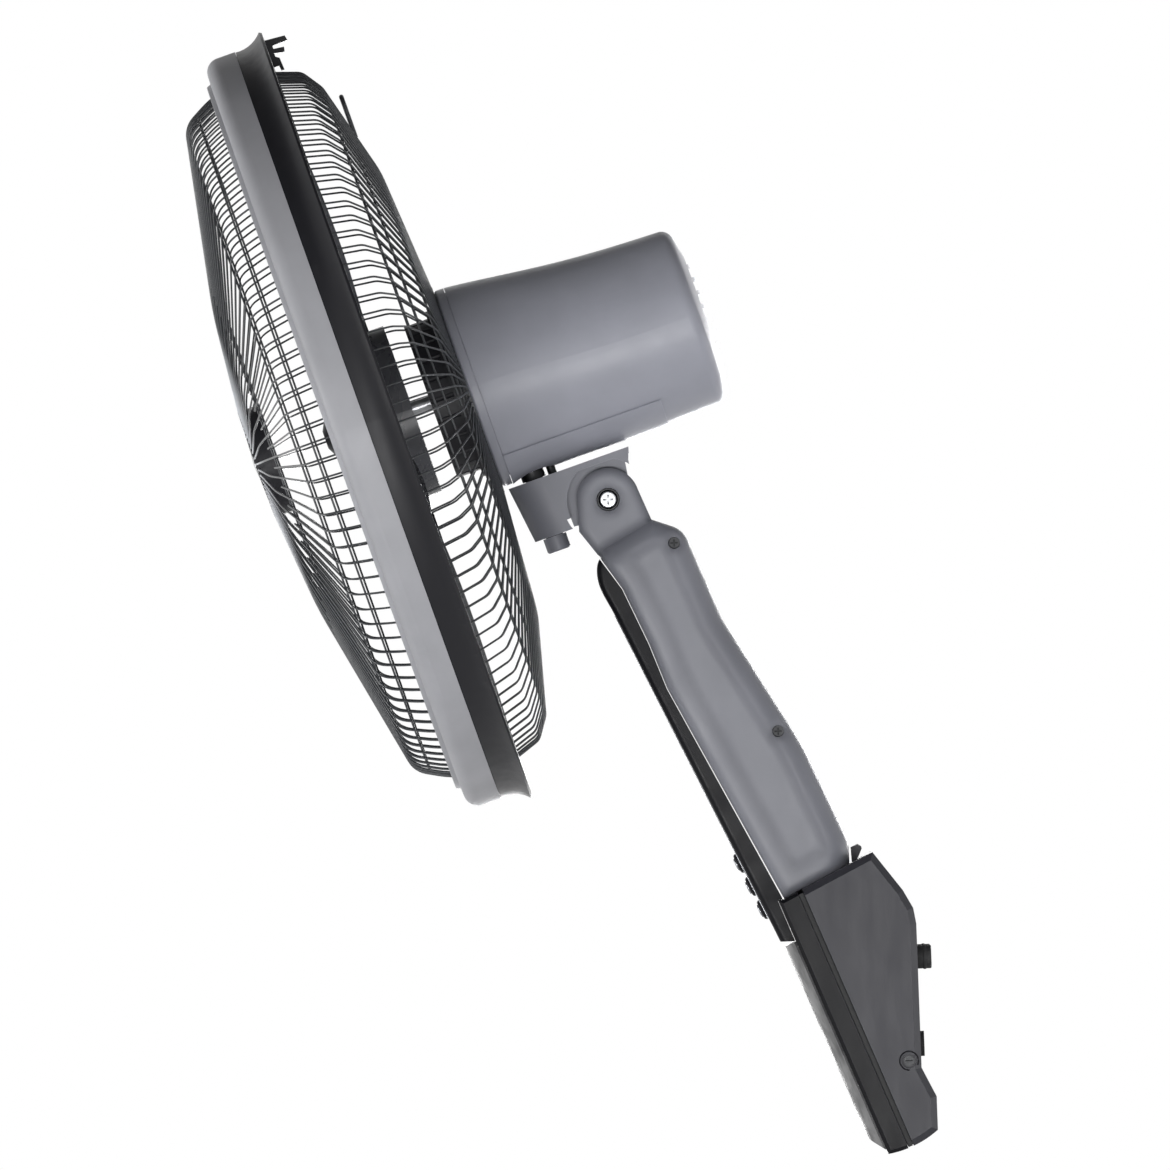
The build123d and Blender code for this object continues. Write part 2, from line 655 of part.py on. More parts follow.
def bearing(span, bore_r):
    """Closed ball bearing in the middle of a bracket."""
    low, high = span
    ring = along_z(BEARING_R, low - 1, high + 1) - along_z(bore_r + RUN, low - 2, high + 2)
    for z in (low - 1, high + 1):
        ring -= along_z(BEARING_R - 1.6, z - 0.3, z + 0.3) - along_z(bore_r + 2.0, z - 0.5, z + 0.5)
    return ring


def stator_core():
    core = along_z(STATOR_R, STATOR_REAR, STATOR_FRONT)
    core -= along_z(ROTOR_CORE_R + AIR_GAP, STATOR_REAR - 1, STATOR_FRONT + 1)
    slot = along_z(3.4, STATOR_REAR - 1, STATOR_FRONT + 1, ROTOR_CORE_R + 7.5)
    mouth = box_between((ROTOR_CORE_R, -0.8, STATOR_REAR - 1), (ROTOR_CORE_R + 6, 0.8, STATOR_FRONT + 1))
    bores = tie_copies(along_z(TIE_R + SEAT, STATOR_REAR - 1, STATOR_FRONT + 1))
    return core - turned_copies(slot, 16) - turned_copies(mouth, 16) - bores


def stator_windings():
    """Two plain coil heads, one on each end of the core."""
    pieces = []
    for z_low, z_high in ((STATOR_FRONT + SEAT, STATOR_FRONT + 6), (STATOR_REAR - 8, STATOR_REAR - SEAT)):
        head = along_z(COIL_R, z_low, z_high) - along_z(ROTOR_CORE_R + 1.5, z_low - 1, z_high + 1)
        pieces.append(fillet(head.edges().filter_by(GeomType.CIRCLE), 1.8))
    return group(pieces)


def gear_case():
    """Cast case under the stator that holds the pan pin and the swing drive."""
    high = -STATOR_R - 0.6
    rear, front = DRIVE_AT_Z - DRIVE_R - 1.2, COLLAR_FRONT - 3.0 - SEAT
    body = box_between((-18.5, CASE_FLOOR, rear), (18.5, high, front))
    body = body & cover_body(COVER_WALL + FIT)
    nose = box_between((-18.5, CASE_FLOOR, COVER_SEAM_Z - 0.01), (18.5, high, front))
    body += nose & along_z(COLLAR_R - COVER_WALL - 2 * FIT, COLLAR_SEAM - 4, front)
    body -= along_z(STATOR_R + FIT, rear - 1, front + 1)
    body -= along_y(SWING_HOLE_R, CASE_FLOOR - 2, CASE_FLOOR + SWING_DEPTH, 0, PAN_Z)
    body -= along_y(PAN_PIN_R + SEAT, CASE_FLOOR - 1, high + 1, 0, PAN_Z)
    for x in CASE_SCREWS_AT:
        body -= along_z(TIE_R + SEAT, -69.5, front + 1, x, CASE_SCREW_Y)
    return body - along_y(DRIVE_R + SEAT, CASE_FLOOR - 1, high - 1.6, 0, DRIVE_AT_Z)


def swing_drive():
    """Flat geared motor that swings the head, with its stub shaft."""
    body = along_y(DRIVE_R, CASE_FLOOR + 0.6, -STATOR_R - 2.2 - SEAT, 0, DRIVE_AT_Z)
    body = body & cover_body(COVER_WALL + FIT)
    return body + along_y(2.0, CASE_FLOOR + 0.2, CASE_FLOOR + 1.4, 0, DRIVE_AT_Z + 9)


def pan_pin():
    """Stepped pivot pin: pressed in the gear case, with a collar over the bracket."""
    pin = along_y(PAN_PIN_R, RETAINER_FOOT + 1.2 + SEAT, -STATOR_R - 1.0, 0, PAN_Z)
    return pin + along_y(PAN_COLLAR_R, BRACKET_TOP + FIT, CASE_FLOOR + SWING_DEPTH - SEAT, 0, PAN_Z)


def pan_retainer():
    """Capped nut on the lower end of the pan pin."""
    cap = along_y(RETAINER_R, RETAINER_FOOT, BRACKET_FOOT - FIT, 0, PAN_Z)
    cap = chamfer(cap.edges().sort_by(Axis.Y)[0], 0.8)
    return cap - along_y(PAN_PIN_R + SEAT, RETAINER_FOOT + 1.2, BRACKET_FOOT, 0, PAN_Z)


def to_head(y, z):
    """A point of the side plane in the head frame, as (y, z)."""
    dy, dz = y - FAN_Y, z - FAN_Z
    c, s = cos(radians(FAN_DROP)), sin(radians(FAN_DROP))
    return (-dy * s + dz * c, -dy * c - dz * s)


TILT_AT = to_head(TILT_Y, TILT_Z)


def head_side_block(face, half):
    """A face drawn as (y, z) of the head frame, thick by half on both sides of x = 0."""
    return extrude(Plane.YZ * face, amount=half, both=True)


def neck_bracket():
    """Tilting bracket: pan socket in front, cheeks hollowed round the ears, inner tongue."""
    ty, tz = TILT_AT
    rear = -130.3
    cheeks = head_side_block(
        outline((BRACKET_TOP, -59.6), (BRACKET_TOP, rear), (-67.0, rear + 2.6), (-73.5, rear + 3.4),
                (BRACKET_FOOT, -92.0), (BRACKET_FOOT, -63.8)),
        BRACKET_HALF,
    )
    corners = [e for e in cheeks.edges() if e.center().Z > -66 and abs((e @ 0).X - (e @ 1).X) < 0.1]
    socket = fillet(corners, BRACKET_ROUND)
    tongue_r = EAR_R - 2.5
    tongue = along_x(tongue_r, -TONGUE_HALF, TONGUE_HALF, ty, tz)
    web = head_side_block(
        outline((BRACKET_TOP - 3, -86), (BRACKET_TOP - 3, rear + 4), (-70.0, rear + 5),
                (ty + 4, tz - tongue_r + 1), (ty - 9, tz + 11), (BRACKET_FOOT + 1, -87)),
        TONGUE_HALF,
    )
    recess = along_x(EAR_RECESS_R, -BRACKET_HALF - 1, BRACKET_HALF + 1, ty, tz)
    low_end = Pos(0, BRACKET_FOOT - 1, tz) * Box(2 * BRACKET_HALF + 4, 14, 80)
    recess += along_x(CHIN_RECESS_R, -BRACKET_HALF - 1, BRACKET_HALF + 1, ty, tz) & low_end
    flange = head_side_block(
        outline((BRACKET_TOP, -78), (BRACKET_TOP, rear), (BRACKET_TOP - 3.4, rear + 1), (BRACKET_TOP - 3.4, -78)),
        BRACKET_HALF,
    )
    body = socket - recess + flange + web + tongue
    body -= along_x(TILT_BOLT_R + RUN, -TONGUE_HALF - 1, TONGUE_HALF + 1, ty, tz)
    body -= along_y(PAN_BUSH_R + SEAT, BRACKET_FOOT - 1, BRACKET_TOP + 1, 0, PAN_Z)
    return body - along_y(DRIVE_PIN_R + SEAT, BRACKET_TOP - 8, BRACKET_TOP + 1, 0, DRIVE_PIN_Z)


def pan_bush():
    tube = along_y(PAN_BUSH_R, BRACKET_FOOT, BRACKET_TOP, 0, PAN_Z)
    return tube - along_y(PAN_PIN_R + RUN, BRACKET_FOOT - 1, BRACKET_TOP + 1, 0, PAN_Z)


def drive_pin():
    """Pin of the bracket that the swing drive's link pushes against."""
    top = CASE_FLOOR + SWING_DEPTH - 0.6
    return along_y(DRIVE_PIN_R, BRACKET_TOP - 7.5, top, 0, DRIVE_PIN_Z)


# ---------------------------------------------------------------- arm
LEAN_SIN, LEAN_COS = sin(radians(ARM_LEAN)), cos(radians(ARM_LEAN))
BASE_LENGTH = hypot(BASE_CHIN[0] - BASE_FRONT_TOP[0], BASE_CHIN[1] - BASE_FRONT_TOP[1])
BASE_SIN = (BASE_CHIN[0] - BASE_FRONT_TOP[0]) / BASE_LENGTH
BASE_COS = (BASE_FRONT_TOP[1] - BASE_CHIN[1]) / BASE_LENGTH
FRONT_LENGTH = hypot(FRONT_FOOT[0] - FRONT_TOP[0], FRONT_FOOT[1] - FRONT_TOP[1])
FRONT_SIN = (FRONT_FOOT[0] - FRONT_TOP[0]) / FRONT_LENGTH
FRONT_COS = (FRONT_TOP[1] - FRONT_FOOT[1]) / FRONT_LENGTH


def top_edge_point(y, lift=0.0):
    """A point above the base's sloping top edge, lifted square to it."""
    run = hypot(BASE_TOP_BACK[0] - BASE_FRONT_TOP[0], BASE_TOP_BACK[1] - BASE_FRONT_TOP[1])
    c = (BASE_TOP_BACK[0] - BASE_FRONT_TOP[0]) / run
    s = (BASE_TOP_BACK[1] - BASE_FRONT_TOP[1]) / run
    z = BASE_FRONT_TOP[1] + (y - BASE_FRONT_TOP[0]) * s / c
    return (y - lift * s, z + lift * c)


def arm_face(inset=0.0):
    """Side outline of the grey arm body."""
    low_front = top_edge_point(ARM_SEAM[-1][0] + 1.2, FIT)
    low_back = top_edge_point(ARM_FOOT_Y, FIT)
    back = FilletPolyline(ARM_SHOULDER, *ARM_BACK, low_back, radius=list(ARM_BACK_BENDS))
    rest = Polyline(low_back, low_front, *reversed(ARM_SEAM[:-1]), ARM_NECK, ARM_SHOULDER)
    face = make_face(back + rest)
    return offset(face, -inset, kind=Kind.INTERSECTION) if inset else face


def is_behind(point):
    """Does the point lie on the back or the top of the arm, and not on its foot?"""
    middle = top_edge_point(ROOT_MIDDLE_Y)
    across = (point.Y - middle[0]) * LEAN_COS + (point.Z - middle[1]) * LEAN_SIN
    return across > 8.0 or point.Z > ARM_NECK[1] + 0.9


def is_on_seam(point):
    """Does the point lie on the arm's front, and not on its back, its top or its foot?"""
    return not is_behind(point) and point.Y < ROOT_MIDDLE_Y - ROOT_THICK / 2


def ear_face():
    """Outline of one ear: a round end over the tilt bolt that runs down into the arm."""
    def rim(angle):
        return (TILT_Y + EAR_R * cos(radians(angle)), TILT_Z + EAR_R * sin(radians(angle)))

    down = outline(rim(188), ARM_EAR_LEFT, *EAR_IN_ARM, rim(28))
    return Pos(TILT_Y, TILT_Z) * Circle(EAR_R) + down


def in_root(across, down):
    """A point of the side plane, across and down the arm's axis from the base's top edge."""
    middle = top_edge_point(ROOT_MIDDLE_Y)
    return (
        middle[0] + across * LEAN_COS + down * LEAN_SIN,
        middle[1] + across * LEAN_SIN - down * LEAN_COS,
    )


def root_face(grow=0.0, up=4.0, depth=ROOT_DEPTH):
    """The arm's narrower root that stands inside the base."""
    half = ROOT_THICK / 2 + grow
    return outline(in_root(-half, -up), in_root(half, -up), in_root(half, depth), in_root(-half, depth))


def arm_half(side):
    """One half of the arm, on the side of the middle plane given by side."""
    outer = side_block(arm_face(), 0, ARM_HALF)
    rim = [e for e in outer.faces().sort_by(Axis.X)[-1].edges() if is_behind(e.center())]
    outer = fillet(rim, ARM_EDGE)
    front = [e for e in outer.edges() if abs(e.center().X - ARM_HALF) < 0.05 and is_on_seam(e.center())]
    outer = fillet(front, ARM_FRONT_EDGE)
    inner = side_block(arm_face(ARM_WALL), -1, ARM_HALF - ARM_EDGE)
    inner += side_block(arm_face(ARM_EDGE - 1), -1, ARM_HALF - ARM_WALL)
    ear = side_block(ear_face(), TONGUE_HALF + 1.0, EAR_HALF)
    slot = along_x(EAR_RECESS_R - 0.5, -1, TONGUE_HALF + 0.5, TILT_Y, TILT_Z)
    root = side_block(root_face(), 0, ROOT_HALF)
    bore = side_block(root_face(-ARM_WALL, 5, ROOT_DEPTH + 1), -1, ROOT_HALF - ARM_WALL)
    half = outer - inner + root - bore - slot + ear
    if side > 0:
        half -= along_x(6.5, EAR_HALF - 2.6, EAR_HALF + 1, TILT_Y, TILT_Z)
    for y, z in ARM_SCREWS_AT:
        half += along_x(4.2, 0, ARM_HALF - 6.5, y, z)
        half -= along_x(TIE_R + SEAT, -1, ARM_HALF - 6.0, y, z)
        if side > 0:
            half -= along_x(3.4, ARM_HALF - 5.0, ARM_HALF + 1, y, z)
            half -= along_x(TIE_R + SEAT, -1, ARM_HALF - 4.0, y, z)
    half -= along_x(TILT_BOLT_R + SEAT, 0, ARM_HALF, TILT_Y, TILT_Z)
    for down in ROOT_SCREWS_AT:
        half -= root_rod(TIE_R + SEAT, down, ROOT_THICK / 2 - 5, ROOT_THICK / 2 + 2)
    return half if side > 0 else mirror(half, about=Plane.YZ)


def root_rod(radius, down, low, high):
    """A rod square to the arm's axis in the side plane, at a depth in the root."""
    y, z = in_root(0, down)
    frame = Plane(origin=(0, y, z), x_dir=(1, 0, 0), z_dir=(0, LEAN_COS, LEAN_SIN))
    return frame.location * along_z(radius, low, high)


def arm_spine():
    """Steel strap from inside the arm's root down to the mounting plate."""
    wall = ROOT_THICK / 2 - ARM_WALL - SEAT
    plate = PLATE_FACE_Y - 2 * SEAT - PLATE_THICK
    face = outline(
        in_root(wall, -20), in_root(wall, 38), (plate - 2, 58), (plate, 54), (plate, 22),
        (plate - SPINE_THICK, 22), (plate - SPINE_THICK, 52), in_root(wall - SPINE_THICK, 41),
        in_root(wall - SPINE_THICK, -20),
    )
    spine = side_block(face, -SPINE_HALF, SPINE_HALF)
    for down in ROOT_SCREWS_AT:
        spine -= root_rod(TIE_R + SEAT, down, 5, 20)
    for z in SPINE_SCREWS_AT:
        spine -= along_y(TIE_R + SEAT, plate - 10, plate + 1, 0, z)
    return spine


def root_screws():
    """Screws through the arm's root into the spine, and through the spine into the plate."""
    screws = []
    wall = ROOT_THICK / 2
    for down in ROOT_SCREWS_AT:
        screws.append(
            root_rod(3.0, down, wall + SEAT, wall + 2) + root_rod(TIE_R, down, wall - ARM_WALL - 4.5, wall + 1)
        )
    front = PLATE_FACE_Y - 2 * SEAT - PLATE_THICK - SPINE_THICK
    for z in SPINE_SCREWS_AT:
        screws.append(
            along_y(3.0, front - 2, front - SEAT, 0, z) + along_y(TIE_R, front - 1, PLATE_FACE_Y - 0.3, 0, z)
        )
    return group(screws)


def arm_cover_face():
    """Side outline of the black front cover, which runs on over the base's front edge."""
    nose = (-83.3, 54.5)
    heel = (BASE_FRONT_TOP[0] + (BASE_FRONT_TOP[1] - nose[1]) * BASE_SIN / BASE_COS - 0.3, nose[1])
    crown_top = (ARM_NECK[0] + 1.8, ARM_NECK[1] - 3.7)
    crown = Spline(crown_top, (-177.6, 263.0), FRONT_TOP, tangents=[(-0.6, -0.8), (0.44, -0.9)])
    seam = [(y - FIT, z - FIT / 2) for y, z in reversed(ARM_SEAM[:-1])]
    rest = Polyline(
        FRONT_TOP, FRONT_FOOT, nose, heel, (BASE_FRONT_TOP[0] - FIT, BASE_FRONT_TOP[1] + FIT),
        top_edge_point(ARM_SEAM[-1][0] + 0.6, FIT), *seam, crown_top,
    )
    return make_face(crown + rest)


BUTTON_FRAME = Plane(
    origin=(0, FRONT_TOP[0], FRONT_TOP[1]),
    x_dir=(1, 0, 0),
    z_dir=(0, -FRONT_COS, -FRONT_SIN),
)
BUTTON_DOWN = [FRONT_LENGTH - 40.7 + BUTTON_PITCH * i for i in range(3)]
TRIM_END = BUTTON_DOWN[-1] + 5.5


def front_rod(radius, down, low, high):
    """A rod square to the arm's front, down along it, from low to high above its face."""
    return BUTTON_FRAME.location * along_z(radius, low, high, 0, -down)


def arm_front_cover():
    body = side_block(arm_cover_face(), -COVER_HALF, COVER_HALF)
    front = [e for e in body.edges() if abs(abs(e.center().X) - COVER_HALF) < 0.1]
    front = [e for e in front if e.center().Y < -150 and e.geom_type != GeomType.LINE or
             abs((e @ 0).Y - FRONT_TOP[0]) < 0.1 and abs((e @ 1).Y - FRONT_FOOT[0]) < 0.1 or
             abs((e @ 1).Y - FRONT_TOP[0]) < 0.1 and abs((e @ 0).Y - FRONT_FOOT[0]) < 0.1]
    body = fillet(front, 3.5)
    hollow = BUTTON_FRAME.location * box_between(
        (-COVER_HALF + ARM_COVER_WALL, -TRIM_END, -14), (COVER_HALF - ARM_COVER_WALL, -6, -ARM_COVER_WALL)
    )
    body -= hollow
    trough = BUTTON_FRAME.location * box_between(
        (-TRIM_HALF - SEAT, -TRIM_END - SEAT, -0.8), (TRIM_HALF + SEAT, 0.5, 1)
    )
    body -= trough
    for down in BUTTON_DOWN:
        body -= front_rod(BUTTON_R + FIT, down, -20, 5)
    return body


def arm_trim():
    """Thin bright strip let into the middle of the front cover."""
    strip = BUTTON_FRAME.location * box_between(
        (-TRIM_HALF, -TRIM_END, -0.8 + SEAT), (TRIM_HALF, 0, TRIM_THICK - 0.8)
    )
    for down in BUTTON_DOWN:
        strip -= front_rod(BUTTON_R + FIT, down, -3, 3)
    return strip


def button(index):
    """Push button: a domed plunger with a collar behind the cover."""
    down = BUTTON_DOWN[index]
    plunger = front_rod(BUTTON_R, down, BUTTON_LOW, BUTTON_PROUD)
    crown = plunger.edges().sort_by(Axis((0, 0, 0), BUTTON_FRAME.z_dir))[-1]
    collar = front_rod(BUTTON_COLLAR_R, down, BUTTON_LOW, -ARM_COVER_WALL - RUN)
    return fillet(crown, 1.0) + collar


BUTTON_LOW = -ARM_COVER_WALL - 1.6


def switch_block():
    """Key switch under the three buttons."""
    high = BUTTON_LOW - BUTTON_TRAVEL - 0.2
    first, last = BUTTON_DOWN[0], BUTTON_DOWN[-1]
    return BUTTON_FRAME.location * box_between((-9, -last - 1.0, -8.2), (9, -first + 6, high))


def arm_screws():
    """Two screws that draw the arm halves together, heads sunk on one side."""
    screws = []
    for y, z in ARM_SCREWS_AT:
        head = along_x(3.1, ARM_HALF - 5.0 + SEAT, ARM_HALF - 3.0, y, z)
        cross = box_between((ARM_HALF - 3.9, y - 2, z - 0.4), (ARM_HALF - 2, y + 2, z + 0.4))
        cross += box_between((ARM_HALF - 3.9, y - 0.4, z - 2), (ARM_HALF - 2, y + 0.4, z + 2))
        screws.append(head - cross + along_x(1.6, -14, ARM_HALF - 5.0 + SEAT, y, z))
    return group(screws)


def tilt_bolt():
    head = along_x(4.7, EAR_HALF - 2.6 + SEAT, EAR_HALF - 0.2, TILT_Y, TILT_Z)
    head = fillet(head.edges().sort_by(Axis.X)[-1], 1.0)
    cross = box_between((EAR_HALF - 1.6, TILT_Y - 2.8, TILT_Z - 0.6), (EAR_HALF + 1, TILT_Y + 2.8, TILT_Z + 0.6))
    cross += box_between((EAR_HALF - 1.6, TILT_Y - 0.6, TILT_Z - 2.8), (EAR_HALF + 1, TILT_Y + 0.6, TILT_Z + 2.8))
    shank = along_x(TILT_BOLT_R, -EAR_HALF - 5.0, EAR_HALF - 2.6 + SEAT, TILT_Y, TILT_Z)
    return head - cross + shank


def tilt_nut():
    """Hexagon nut on the tilt bolt."""
    hexagon = Plane.YZ.offset(-EAR_HALF - 4.6 - SEAT) * Pos(TILT_Y, TILT_Z) * RegularPolygon(5.6, 6)
    nut = extrude(hexagon, amount=4.6)
    return nut - along_x(TILT_BOLT_R + SEAT, -EAR_HALF - 6, -EAR_HALF + 1, TILT_Y, TILT_Z)


def tilt_washers():
    """Friction washers between the ears and the tongue."""
    rings = []
    for side in (-1, 1):
        low, high = sorted((side * (TONGUE_HALF + 0.1), side * (TONGUE_HALF + 1.0 - SEAT)))
        ring = along_x(11.0, low, high, TILT_Y, TILT_Z)
        rings.append(ring - along_x(TILT_BOLT_R + SEAT, low - 1, high + 1, TILT_Y, TILT_Z))
    return group(rings)


# ---------------------------------------------------------------- base
def front_line(depth, z):
    """Y of a line parallel to the base's front, depth behind it, at a height."""
    y = BASE_FRONT_TOP[0] + (BASE_FRONT_TOP[1] - z) * BASE_SIN / BASE_COS
    return y + depth / BASE_COS


def cut_front(depth, z_low=-200.0, z_high=200.0):
    """Everything in front of the line depth behind the base's front."""
    return outline(
        (front_line(depth, z_high), z_high), (front_line(depth, z_low), z_low), (-400, z_low), (-400, z_high)
    )


def base_face():
    """Side outline of the whole base box."""
    foot_low = (0.0, -52.6)
    straight = Polyline(
        BASE_FRONT_TOP, BASE_TOP_BACK, (-14.6, 80.9), (-9.2, 70.8), (REAR_FACE_Y, 62.0),
        (REAR_FACE_Y, -17.8), (0.0, -34.0), foot_low,
    )
    return make_face(straight + ThreePointArc(foot_low, (-12.4, -60.4), BASE_CHIN) + Line(BASE_CHIN, BASE_FRONT_TOP))


def base_inner_face():
    return offset(base_face(), -BASE_WALL, kind=Kind.INTERSECTION)


def base_rear_shell():
    depth = FRAME_DEPTH + GROOVE
    outer = side_block(base_face() - cut_front(depth), -BASE_HALF, BASE_HALF)
    rims = [e for e in outer.edges() if abs(abs(e.center().X) - BASE_HALF) < 0.1]
    rims = [e for e in rims if not is_on_cut(e, depth)]
    outer = chamfer(rims, 3.6)
    inner = side_block(base_inner_face(), -BASE_HALF + BASE_WALL, BASE_HALF - BASE_WALL)
    shell = outer - inner
    shell -= side_block(root_face(FIT), -ROOT_HALF - FIT, ROOT_HALF + FIT)
    for x in (-SCREW_X, SCREW_X):
        boss = along_y(7.0, PLATE_FACE_Y, -1.0, x, -SCREW_Z)
        shell += boss
        shell -= along_y(SCREW_HOLE_R, -30, 1, x, -SCREW_Z)
        shell -= along_y(SCREW_HOLE_R, -30, 1, x, SCREW_Z)
    for side in (-1, 1):
        low, high = sorted((side * (BASE_HALF - 2.2), side * (BASE_HALF + 1)))
        shell -= along_x(4.2, low, high, *LOCK_SCREW_AT)
        low, high = sorted((side * (BASE_HALF - 8), side * (BASE_HALF + 1)))
        shell -= along_x(1.75, low, high, *LOCK_SCREW_AT)
    shell -= along_y(INLET_R + SEAT, -20, 1, 0, INLET_Z)
    return shell + arm_catch()


PLATE_FACE_Y = REAR_FACE_Y - BASE_WALL


def is_on_cut(edge, depth):
    """Does the edge lie on the cut plane across the front of the base?"""
    points = (edge @ 0, edge @ 1)
    return all(abs(p.Y - front_line(depth, p.Z)) < 0.05 for p in points)


def base_front_frame():
    """Front strip of the base with a tongue that slips into the rear shell."""
    strip = base_face() & cut_front(FRAME_DEPTH)
    outer = side_block(strip, -BASE_HALF, BASE_HALF)
    rims = [e for e in outer.edges() if abs(abs(e.center().X) - BASE_HALF) < 0.1]
    rims = [e for e in rims if not is_on_cut(e, FRAME_DEPTH)]
    outer = chamfer(rims, 2.0)
    core_face = offset(base_face(), -BASE_WALL - FIT, kind=Kind.INTERSECTION)
    tongue = side_block(
        core_face & cut_front(FRAME_DEPTH + GROOVE + 5), -BASE_HALF + BASE_WALL + FIT, BASE_HALF - BASE_WALL - FIT
    )
    core = side_block(
        offset(base_face(), -2 * BASE_WALL - FIT, kind=Kind.INTERSECTION),
        -BASE_HALF + 2 * BASE_WALL + FIT, BASE_HALF - 2 * BASE_WALL - FIT,
    )
    window = BASE_FRAME.location * box_between((-46, -112, -30), (46, -8, 5))
    frame = outer + tongue - core - window
    frame -= side_block(root_face(FIT), -ROOT_HALF - FIT, ROOT_HALF + FIT)
    return frame


BASE_FRAME = Plane(
    origin=(0, BASE_FRONT_TOP[0], BASE_FRONT_TOP[1]),
    x_dir=(1, 0, 0),
    z_dir=(0, -BASE_COS, -BASE_SIN),
)


def base_front_panel():
    """Glossy swelling fascia in front of the frame, under the arm's cover."""
    top, low = -24.2, -150.0
    wedge = outline(
        (top, FIT / 3), (low, FIT / 3), (low + 9.0, FASCIA_PROUD), (top, FASCIA_PROUD)
    )
    wedge = fillet(wedge.vertices().sort_by_distance((low + 9.0, FASCIA_PROUD))[0], 8.0)
    body = extrude(Plane.YZ * wedge, amount=FASCIA_HALF, both=True)
    swell = Pos(0, 0, FASCIA_PROUD - FASCIA_SWELL_R) * Rot(90, 0, 0) * Cylinder(FASCIA_SWELL_R, 3 * BASE_LENGTH)
    body = body & swell
    hollow = box_between((-FASCIA_HALF + 16, low + 14, -1), (FASCIA_HALF - 16, top - 3, FASCIA_PROUD - 4.0))
    plug = box_between((-45.5, low + 40, -3.0), (45.5, top - 3, FIT))
    plug -= box_between((-43, low + 42.5, -4.0), (43, top - 5.5, 1))
    return BASE_FRAME.location * (body - hollow + plug)


def wall_bushes():
    """Two stand-off bushes that the upper wall screws pass through."""
    bushes = []
    for x in (-SCREW_X, SCREW_X):
        bush = along_y(BUSH_R, REAR_FACE_Y + SEAT, 0, x, SCREW_Z)
        bush = fillet(bush.edges().sort_by(Axis.Y)[-1], 0.8)
        bushes.append(bush - along_y(SCREW_HOLE_R, REAR_FACE_Y - 1, 1, x, SCREW_Z))
    return group(bushes)


def lock_screws():
    """Side screws that hold the base shell to the steel plate."""
    screws = []
    for side in (-1, 1):
        seat = BASE_HALF - 2.2 + SEAT
        low, high = sorted((side * seat, side * (seat + 1.6)))
        head = along_x(2.9, low, high, *LOCK_SCREW_AT)
        y, z = LOCK_SCREW_AT
        low, high = sorted((side * (seat + 0.8), side * (seat + 3)))
        slot = box_between((low, y - 2, z - 0.35), (high, y + 2, z + 0.35))
        low, high = sorted((side * (seat - 8), side * seat))
        screws.append(head - slot + along_x(1.5, low, high, y, z))
    return group(screws)


def mounting_plate():
    """Steel plate inside the back with side tabs and a foot for the arm's root."""
    high, low = 60.0, -52.0
    plate = box_between((-48, PLATE_FACE_Y - SEAT - PLATE_THICK, low), (48, PLATE_FACE_Y - SEAT, high))
    plate -= box_between((-22, PLATE_FACE_Y - 10, -28), (22, PLATE_FACE_Y + 1, 20))
    for x in (-SCREW_X, SCREW_X):
        for z in (-SCREW_Z, SCREW_Z):
            plate -= along_y(SCREW_HOLE_R, PLATE_FACE_Y - 10, PLATE_FACE_Y + 1, x, z)
    for z in SPINE_SCREWS_AT:
        plate -= along_y(TIE_R + SEAT, PLATE_FACE_Y - 10, PLATE_FACE_Y + 1, 0, z)
    for side in (-1, 1):
        inside = BASE_HALF - BASE_WALL - FIT
        x_low, x_high = sorted((side * (inside - PLATE_THICK), side * inside))
        tab = box_between((x_low, -20.5, -24), (x_high, PLATE_FACE_Y - SEAT, -4))
        x_low, x_high = sorted((side * 47, side * inside))
        tab += box_between((x_low, PLATE_FACE_Y - SEAT - PLATE_THICK, -24), (x_high, PLATE_FACE_Y - SEAT, -4))
        x_low, x_high = sorted((side * (inside - 10), side * (inside + 1)))
        plate += tab - along_x(1.6, x_low, x_high, *LOCK_SCREW_AT)
    return plate


def arm_catch():
    """Hooked tab on the base's top edge behind the arm."""
    hook = outline(
        top_edge_point(-42.4, -1.0), top_edge_point(-39.9, -1.0), (-36.2, 104.6), (-36.6, 105.9),
        (-38.6, 107.1), (-42.4, 105.4),
    )
    return side_block(hook, -7, 7)


BOARD_LOW, BOARD_HIGH = (-46.0, -36.0), (-4.0, 12.0)


def board_corners():
    x_low, z_low = BOARD_LOW
    x_high, z_high = BOARD_HIGH
    return [(x, z) for x in (x_low + 4, x_high - 21) for z in (z_low + 4, z_high - 4)]


def control_board():
    """Circuit board on the mounting plate, with relays, a chip and a header."""
    x_low, z_low = BOARD_LOW
    x_high, z_high = BOARD_HIGH
    front = BOARD_Y - BOARD_THICK
    board = box_between((x_low, front, z_low), (x_high, BOARD_Y, z_high))
    for x, z in board_corners():
        board -= along_y(1.25 + SEAT, front - 1, BOARD_Y + 1, x, z)
    relays = [box_between((x, front - 10, z_high - 24), (x + 9, front, z_high - 8)) for x in (-32, -20)]
    header = box_between((-39, front - 7, z_high - 5.5), (-30, front, z_high - 1))
    chip = box_between((-34, front - 2, -26), (-22, front, -17))
    return board + relays + header + chip


def board_posts():
    """Four pillars between the plate and the board."""
    plate = PLATE_FACE_Y - 2 * SEAT - PLATE_THICK
    return group([along_y(POST_R, BOARD_Y + SEAT, plate, x, z) for x, z in board_corners()])


def board_screws():
    screws = []
    front = BOARD_Y - BOARD_THICK
    for x, z in board_corners():
        screws.append(along_y(2.4, front - 1.6, front - SEAT, x, z) + along_y(1.25, front - 1, BOARD_Y - 0.1, x, z))
    return group(screws)


def run_capacitor():
    back = PLATE_FACE_Y - 2 * SEAT - PLATE_THICK
    body = box_between((17, back - 16, 22), (46, back, 36))
    return fillet(body.edges().filter_by(Axis.Z), 1.5)


